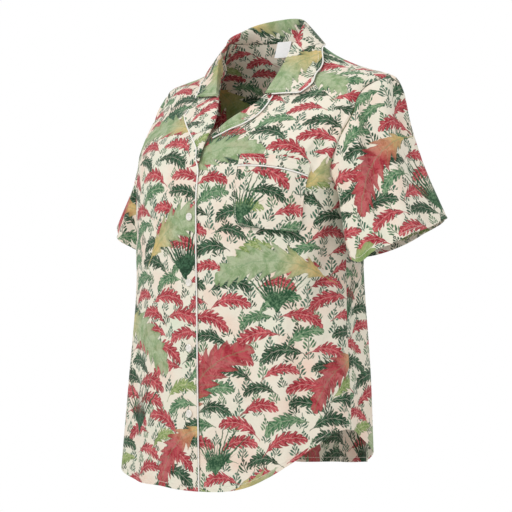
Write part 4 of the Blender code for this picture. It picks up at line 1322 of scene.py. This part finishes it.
# %% Lapel grids
Lapel = namedtuple("Lapel", "along x z")
RIGHT_LAPEL = [
    Lapel(0.00, 0.0060, -0.1800), Lapel(0.20, 0.0020, -0.1650), Lapel(0.40, -0.0130, -0.1520),
    Lapel(0.60, -0.0380, -0.1360), Lapel(0.78, -0.0600, -0.1220), Lapel(0.92, -0.0740, -0.1110),
    Lapel(1.00, -0.0760, -0.1020),
]
LEFT_LAPEL = [
    Lapel(0.00, 0.0150, -0.1460), Lapel(0.20, 0.0330, -0.1360), Lapel(0.45, 0.0540, -0.1270),
    Lapel(0.65, 0.0670, -0.1160), Lapel(0.80, 0.0720, -0.1060), Lapel(0.92, 0.0735, -0.0960),
    Lapel(1.00, 0.0730, -0.0880),
]
RIGHT_ROLL_Z, LEFT_ROLL_Z = (-0.180, -0.0875), (-0.1435, -0.0865)
Fold = namedtuple("Fold", "step past_edge lift")
LAPEL_FOLD = [
    Fold(0, 0.0012, 0.0005), Fold(1, 0.0031, 0.0022), Fold(2, 0.0027, 0.0046), Fold(3, 0.0004, 0.0062),
]
Lie = namedtuple("Lie", "share lift")
LAPEL_LIE = [Lie(0.0, 0.0062), Lie(0.25, 0.0060), Lie(0.50, 0.0050), Lie(0.75, 0.0040), Lie(1.00, 0.0032)]
LEAST_LIFT = 0.0022
ROLL_AT_BREAK, ROLL_GROWS, GROWN_BY = 0.55, 0.45, 0.35      # the roll is flatter near the first button
LAPEL_ROWS, FOLD_LINES, LIE_LINES = 48, 10, 22
LAPEL_WALL = 0.0009


def lapel_grid(panel, column, inside_column, roll_z, table, lifts):
    """A turned-out facing; rows go up the roll line, columns from the fold to the outer edge."""
    border = spaced(border_between(panel, column, *roll_z), LAPEL_ROWS)
    inside = spaced(border_between(panel, inside_column, *roll_z), LAPEL_ROWS)
    along = np.linspace(0, 1, LAPEL_ROWS)
    point, normal = border[:, :3], unit(border[:, 3:])
    off_edge = unit(point - inside[:, :3])
    grown = ROLL_AT_BREAK + ROLL_GROWS * ease(along, 0.0, GROWN_BY)
    steps = np.linspace(0, 3, FOLD_LINES)
    lines = [point + off_edge * float(read(LAPEL_FOLD, "past_edge", step))
             + normal * (float(read(LAPEL_FOLD, "lift", step)) * grown)[:, None] for step in steps]
    start_turn, start_z = turn_at_width(point[:, 0], point[:, 2]), point[:, 2]
    end_x, end_z = read(table, "x", along), read(table, "z", along)
    end_turn = turn_at_width(end_x, end_z)
    for share in np.linspace(0, 1, LIE_LINES + 1)[1:]:
        turn = start_turn + (end_turn - start_turn) * share
        z = start_z + (end_z - start_z) * share
        lift = np.maximum(read(LAPEL_LIE, "lift", share) * grown, LEAST_LIFT)
        lines.append(on_body(turn, z, lift + lifts(turn, z)))
    return np.stack(lines, axis=1)


lapel_left = lapel_grid(left, 0, 4, LEFT_ROLL_Z, LEFT_LAPEL, lambda turn, z: 0.0)
lapel_right = lapel_grid(right, -1, -5, RIGHT_ROLL_Z, RIGHT_LAPEL, lap_lift)[:, ::-1]
lapel_left_piece = cloth_piece("lapel_left_cotton", lapel_left, facing, (0.12, 1.02),
                               edge_distances(lapel_left, ["high", "last"]), wall=LAPEL_WALL)
lapel_right_piece = cloth_piece("lapel_right_cotton", lapel_right, facing, (1.22, 0.71),
                                edge_distances(lapel_right, ["high", "first"]), wall=LAPEL_WALL)

# %% [markdown]
# ## Pocket
# The chest pocket is a plain patch with rounded lower corners, and a band cut from another part of
# the cloth is sewn to its mouth.  It stands away from the chest a little in the middle, where a
# hand would open it, and it is stitched down close to its edges.

# %% Pocket grids
Pocket = namedtuple("Pocket", "down inner_turn inner_z outer_turn outer_z sag")
POCKET_BAND = [
    Pocket(0, 20.7, -0.1720, 60.5, -0.1870, 0.004), Pocket(1, 20.8, -0.1865, 61.0, -0.2020, 0.004),
]
POCKET_BODY = [
    Pocket(0, 20.9, -0.1900, 61.1, -0.2055, 0.004), Pocket(1, 21.2, -0.2140, 60.7, -0.2220, 0.003),
    Pocket(2, 21.5, -0.2380, 60.2, -0.2420, 0.002), Pocket(3, 22.0, -0.2620, 59.7, -0.2680, 0.001),
    Pocket(3.45, 23.6, -0.2705, 58.9, -0.2765, 0.0005), Pocket(3.8, 27.0, -0.2740, 56.5, -0.2810, 0.000),
]
POCKET_COLUMNS = 44
POCKET_LIFT, BAND_BELLY, POCKET_BELLY = 0.0026, 0.0006, 0.0020
STITCH_OUT = 0.0035         # a pocket is stitched this much closer to its edge than a hem


def patch_grid(table, rows, lift, belly):
    """A patch on the left front from a pocket table, standing out a little in its middle."""
    share = np.linspace(0, 1, POCKET_COLUMNS)
    arch = 4 * share * (1 - share)
    grid = []
    for down in np.linspace(table[-1].down, 0, rows):
        inner_turn, inner_z, outer_turn, outer_z, sag = (
            float(read(table, name, down)) for name in Pocket._fields[1:])
        turn = inner_turn + (outer_turn - inner_turn) * share
        z = inner_z + (outer_z - inner_z) * share + sag * arch
        grid.append(on_body(turn, z, lift + belly * arch))
    return np.array(grid)


band = patch_grid(POCKET_BAND, 8, POCKET_LIFT, BAND_BELLY)
pocket = patch_grid(POCKET_BODY, 34, POCKET_LIFT, POCKET_BELLY)
pocket_edging = edge_distances(pocket, ["low", "first", "last"]) + np.array([0, STITCH_OUT])
band_piece = cloth_piece("pocket_band_cotton", band, facing, (0.80, 0.12),
                         edge_distances(band, ["high"]), wall=THICK)
pocket_piece = cloth_piece("pocket_cotton", pocket, cotton, (0.47, -0.21), pocket_edging, wall=THICK)

# %% [markdown]
# ## White piping
# The collar, the lapels and the right front edge are bound with a fine cotton cord in a bias
# strip, and another piece of it crosses the pocket under its band.  It is a tube that follows the
# edge of the cloth just outside it.  A bias strip shows slanting threads, drawn here as a fine
# slanted relief on the tube's own map.

# %% Piping material
piping_material, tree, surface = new_material("white_cotton_piping",
                                              {"Roughness": 0.72, "Sheen Weight": 0.15})
cord = add_node(tree, "ShaderNodeSeparateXYZ", (add_node(tree, "ShaderNodeUVMap", uv_map="cut").outputs[0],))
twill = work_out(tree, """
    run = u * 5200
    turn = v * 900
    slant = run + turn
    height = SINE slant
""", {"u": cord.outputs[0], "v": cord.outputs[1]})
place = add_node(tree, "ShaderNodeTexCoord").outputs["Object"]
mottle = add_node(tree, "ShaderNodeTexNoise", {"Vector": place, "Scale": 160.0, "Detail": 2.0})
tinted(tree, surface, mottle.outputs[0], "#f3efe6", "#fffdf9")
bump = add_node(tree, "ShaderNodeBump", {"Strength": 0.3, "Distance": 0.0002, "Height": twill["height"]})
tree.links.new(bump.outputs[0], surface.inputs["Normal"])

# %% Piping tubes
PIPING_RADIUS, PIPING_SIDES, PIPING_STEP = 0.0011, 12, 0.0028
CLEARANCE = 0.0004          # between the cloth and what lies against it
TUCK = 0.006                # the front edge's piping starts this far under the lapel
POCKET_SINK = 0.0002        # the pocket's piping lies this far into the cloth under its band
FRONT_EDGE_SHARE = 0.70     # how far up the collar's left front edge its piping runs
NOTCH_REACH = 0.0035
MID_WALL = 0.0008           # from the cloth's outer face to the middle of its wall


def past_border(border, inside, normals):
    """Piping centres just past a cloth border, level with the middle of its wall."""
    return border + unit(border - inside) * (PIPING_RADIUS + CLEARANCE) - unit(normals) * MID_WALL


def past_corner(points, normals, row, column):
    """The piping centre that rounds a corner of a piece of cloth."""
    inner_row, inner_column = (1 if row == 0 else -2), (1 if column == 0 else -2)
    corner = points[row, column]
    off_row = past_border(corner, points[inner_row, column], normals[row, column])
    off_column = past_border(corner, points[row, inner_column], normals[row, column])
    return (off_row + off_column - corner + unit(normals[row, column]) * MID_WALL)[None]


def piping_tube(name, path):
    """A closed tube along a list of points, with its own length and turn kept as a map."""
    path = spaced(path, max(12, int(arc(path, 0)[-1] / PIPING_STEP)))
    along = unit(np.gradient(path, axis=0))
    first = unit(np.cross(along, np.array([0.31, 0.52, 0.79])))     # a direction that no path follows
    second = np.cross(along, first)
    angles = np.linspace(0, 2 * math.pi, PIPING_SIDES + 1)
    rings = (path[:, None] + PIPING_RADIUS * (first[:, None] * np.cos(angles)[None, :, None]
                                              + second[:, None] * np.sin(angles)[None, :, None]))
    run = arc(path, 0)
    shape = bmesh.new()
    bmesh.ops.create_grid(shape, x_segments=PIPING_SIDES, y_segments=len(path) - 1, size=1.0)
    cut_map = shape.loops.layers.uv.new("cut")
    for vert, point in zip(shape.verts, rings.reshape(-1, 3)):
        vert.co = point
    for face in shape.faces:
        for loop in face.loops:
            row, column = divmod(loop.vert.index, PIPING_SIDES + 1)
            loop[cut_map].uv = (run[row], column * 2 * math.pi * PIPING_RADIUS / PIPING_SIDES)
    bmesh.ops.remove_doubles(shape, verts=shape.verts, dist=1e-6)
    bmesh.ops.holes_fill(shape, edges=[edge for edge in shape.edges if edge.is_boundary], sides=0)
    bmesh.ops.recalc_face_normals(shape, faces=shape.faces)
    made = object_from(name, shape, piping_material)
    made.data.shade_smooth()
    print(f"{name}: {run[-1] * 1000:.0f} mm")
    return made


def collar_path():
    """Round the collar's outer edge, and along its left front edge to the notch."""
    normals = grid_normals(collar)
    last = int(FALL_ROWS * FRONT_EDGE_SHARE)
    return np.concatenate([
        past_border(collar[last:0:-1, 0], collar[last:0:-1, 1], normals[last:0:-1, 0]),
        past_corner(collar, normals, 0, 0),
        past_border(collar[0, 1:-1], collar[1, 1:-1], normals[0, 1:-1]),
        past_corner(collar, normals, 0, -1),
    ])


def lapel_path(lapel, outer):
    """From the notch down the lapel's outer edge; outer is that edge's column."""
    inner = 1 if outer == 0 else -2
    edge = past_border(lapel[::-1, outer], lapel[::-1, inner], grid_normals(lapel)[::-1, outer])
    notch = edge[0] + unit(edge[0] - edge[2]) * NOTCH_REACH
    return np.concatenate([[notch], edge])


def softened(path, rounds):
    """The same path with its kinks eased: its points move towards the middle of their neighbours."""
    path = spaced(path, int(arc(path, 0)[-1] / PIPING_STEP))
    for _ in range(rounds):
        path[1:-1] = (path[:-2] + 2 * path[1:-1] + path[2:]) / 4
    return path


def front_edge_path():
    """From under the lapel down the right front's edge to the hem."""
    top_z = RIGHT_ROLL_Z[0] - TUCK
    border = border_between(right, -1, right[0, -1, 2], top_z)[::-1]
    inside = border_between(right, -2, right[0, -2, 2], top_z)[::-1]
    count = min(len(border), len(inside))
    path = past_border(border[:count, :3], inside[:count, :3], border[:count, 3:])
    path[0] += unit(border[0, 3:]) * LEAST_LIFT
    return path


piping_collar = piping_tube("collar_piping", softened(collar_path(), 3))
piping_left = piping_tube("left_lapel_piping", lapel_path(lapel_left, -1))
right_path = np.concatenate([lapel_path(lapel_right, 0), front_edge_path()])
piping_right = piping_tube("front_edge_piping", softened(right_path, 8))
pocket_path = (band[0] + pocket[-1]) / 2 - grid_normals(band)[0] * POCKET_SINK
piping_pocket = piping_tube("pocket_piping", pocket_path)

# %% [markdown]
# ## Pearl buttons
# Shirt buttons of this kind are turned from polyester that is cast with a pearly pigment.  The
# profile is spun round the button's axis: a flat back, a rounded rim and a dished middle, with
# four holes cut through it.  The cloudy layers of the pigment are a stretched noise between two
# near whites, under a smooth clear surface.  A few turns of white thread cross the holes.

# %% Button materials
pearl, tree, surface = new_material("pearly_polyester_resin", {
    "Roughness": 0.22, "IOR": 1.54, "Coat Weight": 0.35, "Coat Roughness": 0.12})
place = add_node(tree, "ShaderNodeTexCoord").outputs["Object"]
layers = add_node(tree, "ShaderNodeMapping", {"Vector": place, "Scale": (260.0, 260.0, 900.0)})
clouds = add_node(tree, "ShaderNodeTexNoise", {"Vector": layers.outputs[0], "Scale": 1.0, "Detail": 3.0,
                                               "Distortion": 1.2})
tinted(tree, surface, clouds.outputs[0], "#d9d3cb", "#f6f2ea", between=(0.32, 0.66))

thread_material, tree, surface = new_material("white_sewing_thread", {"Roughness": 0.6})
place = add_node(tree, "ShaderNodeTexCoord").outputs["Object"]
strands = add_node(tree, "ShaderNodeTexNoise", {"Vector": place, "Scale": 900.0, "Detail": 1.0})
tinted(tree, surface, strands.outputs[0], "#d8d4ca", "#fbfaf6")

# %% A drilled blank
BUTTON_RADIUS, BUTTON_THICKNESS, BUTTON_STEPS = 0.0057, 0.0024, 48
BUTTON_TOP_Z, BUTTON_SPACING, BUTTON_COUNT = -0.259, 0.0935, 4
RIM_ANGLE = math.radians(40)
BUTTON_X = 0.0040                                   # just off the middle, inside the right front's edge
HOLE_OFFSET, HOLE_RADIUS = 0.00125, 0.00055
THREAD_OFFSET, THREAD_RADIUS, THREAD_END = 0.00020, 0.00022, 0.0006
THREAD_HEIGHT = 0.70                                # a share of the button's thickness, as below
BUTTON_PROFILE = [(0.0, 0.0), (0.88, 0.0), (0.97, 0.18), (1.0, 0.50), (0.96, 0.84), (0.86, 1.0),
                  (0.74, 0.94), (0.60, 0.70), (0.0, 0.62)]      # shares of radius and thickness

shape = bmesh.new()
verts = [shape.verts.new((BUTTON_RADIUS * r, 0, BUTTON_THICKNESS * h)) for r, h in BUTTON_PROFILE]
edges = [shape.edges.new(pair) for pair in zip(verts, verts[1:])]
bmesh.ops.spin(shape, geom=verts + edges, cent=(0, 0, 0), axis=(0, 0, 1), angle=2 * math.pi,
               steps=BUTTON_STEPS, use_merge=True)
bmesh.ops.remove_doubles(shape, verts=shape.verts, dist=1e-6)
bmesh.ops.recalc_face_normals(shape, faces=shape.faces)
blank = object_from("button_blank", shape, pearl)

shape = bmesh.new()
for across in (-1, 1):
    for up in (-1, 1):
        spot = Matrix.Translation((across * HOLE_OFFSET, up * HOLE_OFFSET, BUTTON_THICKNESS / 2))
        bmesh.ops.create_cone(shape, cap_ends=True, segments=14, radius1=HOLE_RADIUS, radius2=HOLE_RADIUS,
                              depth=BUTTON_THICKNESS * 2, matrix=spot)
drill = object_from("button_drill", shape)
cutting = blank.modifiers.new("holes", "BOOLEAN")
cutting.operation, cutting.object = "DIFFERENCE", drill
drilled = bpy.data.meshes.new_from_object(blank.evaluated_get(bpy.context.evaluated_depsgraph_get()))
bpy.data.objects.remove(drill, do_unlink=True)
bpy.data.objects.remove(blank, do_unlink=True)
print("blank:", len(drilled.polygons), "faces")


# %% Buttons sewn on
def sewn_button(name, z):
    """A drilled disc with its thread, lying on the right front near its edge."""
    shape = bmesh.new()
    shape.from_mesh(drilled)
    for up in (-1, 1):
        for strand in (-1, 1):
            middle = Matrix.Translation((0, up * HOLE_OFFSET + strand * THREAD_OFFSET,
                                         BUTTON_THICKNESS * THREAD_HEIGHT))
            lying = middle @ Matrix.Rotation(math.pi / 2, 4, "Y")
            made = bmesh.ops.create_cone(shape, cap_ends=True, segments=8, radius1=THREAD_RADIUS,
                                         radius2=THREAD_RADIUS, depth=HOLE_OFFSET * 2 + THREAD_END,
                                         matrix=lying)
            for face in {face for vert in made["verts"] for face in vert.link_faces}:
                face.material_index = 1
    turn = float(turn_at_width(BUTTON_X, z))
    normal = torso_normal(turn, z)
    tilt = Matrix.Rotation(math.atan2(normal[0], -normal[1]), 4, "Z")
    tilt = tilt @ Matrix.Rotation(math.pi / 2 - math.asin(normal[2]), 4, "X")
    place = Matrix.Translation(on_body(turn, z, LAP_LIFT + CLEARANCE))
    bmesh.ops.transform(shape, matrix=place @ tilt, verts=shape.verts)
    made = object_from(name, shape, pearl, thread_material)
    made.data.shade_smooth()
    made.data.set_sharp_from_angle(angle=RIM_ANGLE)
    return made


buttons = [sewn_button(f"pearl_button_{n + 1}", BUTTON_TOP_Z - BUTTON_SPACING * n)
           for n in range(BUTTON_COUNT)]
print("buttons:", len(buttons), "of", round(BUTTON_RADIUS * 2000, 1), "mm")

# %% [markdown]
# ## Neck label
# A soft white satin tape hangs from the back neck seam.  It is left blank.  Satin floats its
# threads one way, which gives a long soft shine, so the finish is smoother than the cotton and
# carries fine lines that run along its width.  Its top edge is caught in the neck seam.

# %% Label
LABEL_WIDTH, LABEL_COLUMNS, LABEL_ROWS = 0.026, 16, 15
LABEL_CENTRE_X, LABEL_OFF_SEAM = -0.006, np.array([0, -0.0021, 0.0018])
LABEL_HANG = np.array([-0.002, -0.004, -0.024])
LABEL_CURL, TAPE_WALL = 0.0016, 0.0006
tape, tree, surface = new_material("white_satin_tape", {"Roughness": 0.42, "Sheen Weight": 0.2})
cut = add_node(tree, "ShaderNodeUVMap", uv_map="cut").outputs[0]
lines = add_node(tree, "ShaderNodeMapping", {"Vector": cut, "Scale": (120.0, 2400.0, 1.0)})
floats = add_node(tree, "ShaderNodeTexNoise", {"Vector": lines.outputs[0], "Scale": 1.0, "Detail": 1.0},
                  noise_dimensions="2D")
tinted(tree, surface, floats.outputs[0], "#e6e6e6", "#fbfbfa")
bump = add_node(tree, "ShaderNodeBump", {"Strength": 0.25, "Distance": 0.0002, "Height": floats.outputs[0]})
tree.links.new(bump.outputs[0], surface.inputs["Normal"])


def label_grid():
    """A small blank label that hangs forward from the back neck seam, its sides curling a little."""
    share = np.linspace(0.5, -0.5, LABEL_COLUMNS)
    top = torso_point(np.linspace(172, 200, LABEL_COLUMNS), NECK_Z) + LABEL_OFF_SEAM
    top[:, 0] = LABEL_CENTRE_X + LABEL_WIDTH * share
    curl = np.array([0, -LABEL_CURL, 0]) * ((2 * share) ** 2)[:, None]
    rows = [top + LABEL_HANG * drop + curl * drop for drop in np.linspace(1, 0, LABEL_ROWS)]
    return np.array(rows)[:, ::-1]


label = label_grid()
label_piece = cloth_piece("blank_neck_label", label, tape, (0, 0), wall=TAPE_WALL)

# %% [markdown]
# ## Each piece in place of its node
# Every piece rides on the one body and stands for its own node, whose part is hidden.  The cloth
# pieces are sheets, and the unrolling measured their flat cuts.

# %% Ride and replace
WORN = [
    (front_left, "front_left", "printed_cotton", ["sleeve_left_cotton", "back_cotton"]),
    (front_right, "front_right", "printed_cotton", ["sleeve_right_cotton", "back_cotton"]),
    (back_panel, "back", "printed_cotton", ["front_left_cotton", "front_right_cotton"]),
    (sleeves["left"], "sleeve_left", "printed_cotton", ["front_left_cotton", "back_cotton"]),
    (sleeves["right"], "sleeve_right", "printed_cotton", ["front_right_cotton", "back_cotton"]),
    (collar_piece, "collar", "printed_cotton_trim", ["back_cotton", "front_left_cotton"]),
    (lapel_left_piece, "lapel_left", "printed_cotton_trim", ["front_left_cotton"]),
    (lapel_right_piece, "lapel_right", "printed_cotton_trim", ["front_right_cotton"]),
    (pocket_piece, "pocket", "printed_cotton", ["front_left_cotton"]),
    (band_piece, "pocket_band", "printed_cotton_trim", ["front_left_cotton"]),
    (label_piece, "neck_label", "label_tape", ["back_cotton"]),
]
for piece, node, slot, rests_on in WORN:
    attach(piece.made, "root")
    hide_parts(node)

SEWN_ON = [(piping_collar, "piping_collar", "white_piping"), (piping_left, "piping_left", "white_piping"),
           (piping_right, "piping_right", "white_piping"), (piping_pocket, "piping_pocket", "white_piping")]
SEWN_ON += [(made, f"button_{n + 1}", "pearl_button") for n, made in enumerate(buttons)]
for made, node, slot in SEWN_ON:
    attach(made, "root")
    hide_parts(node)
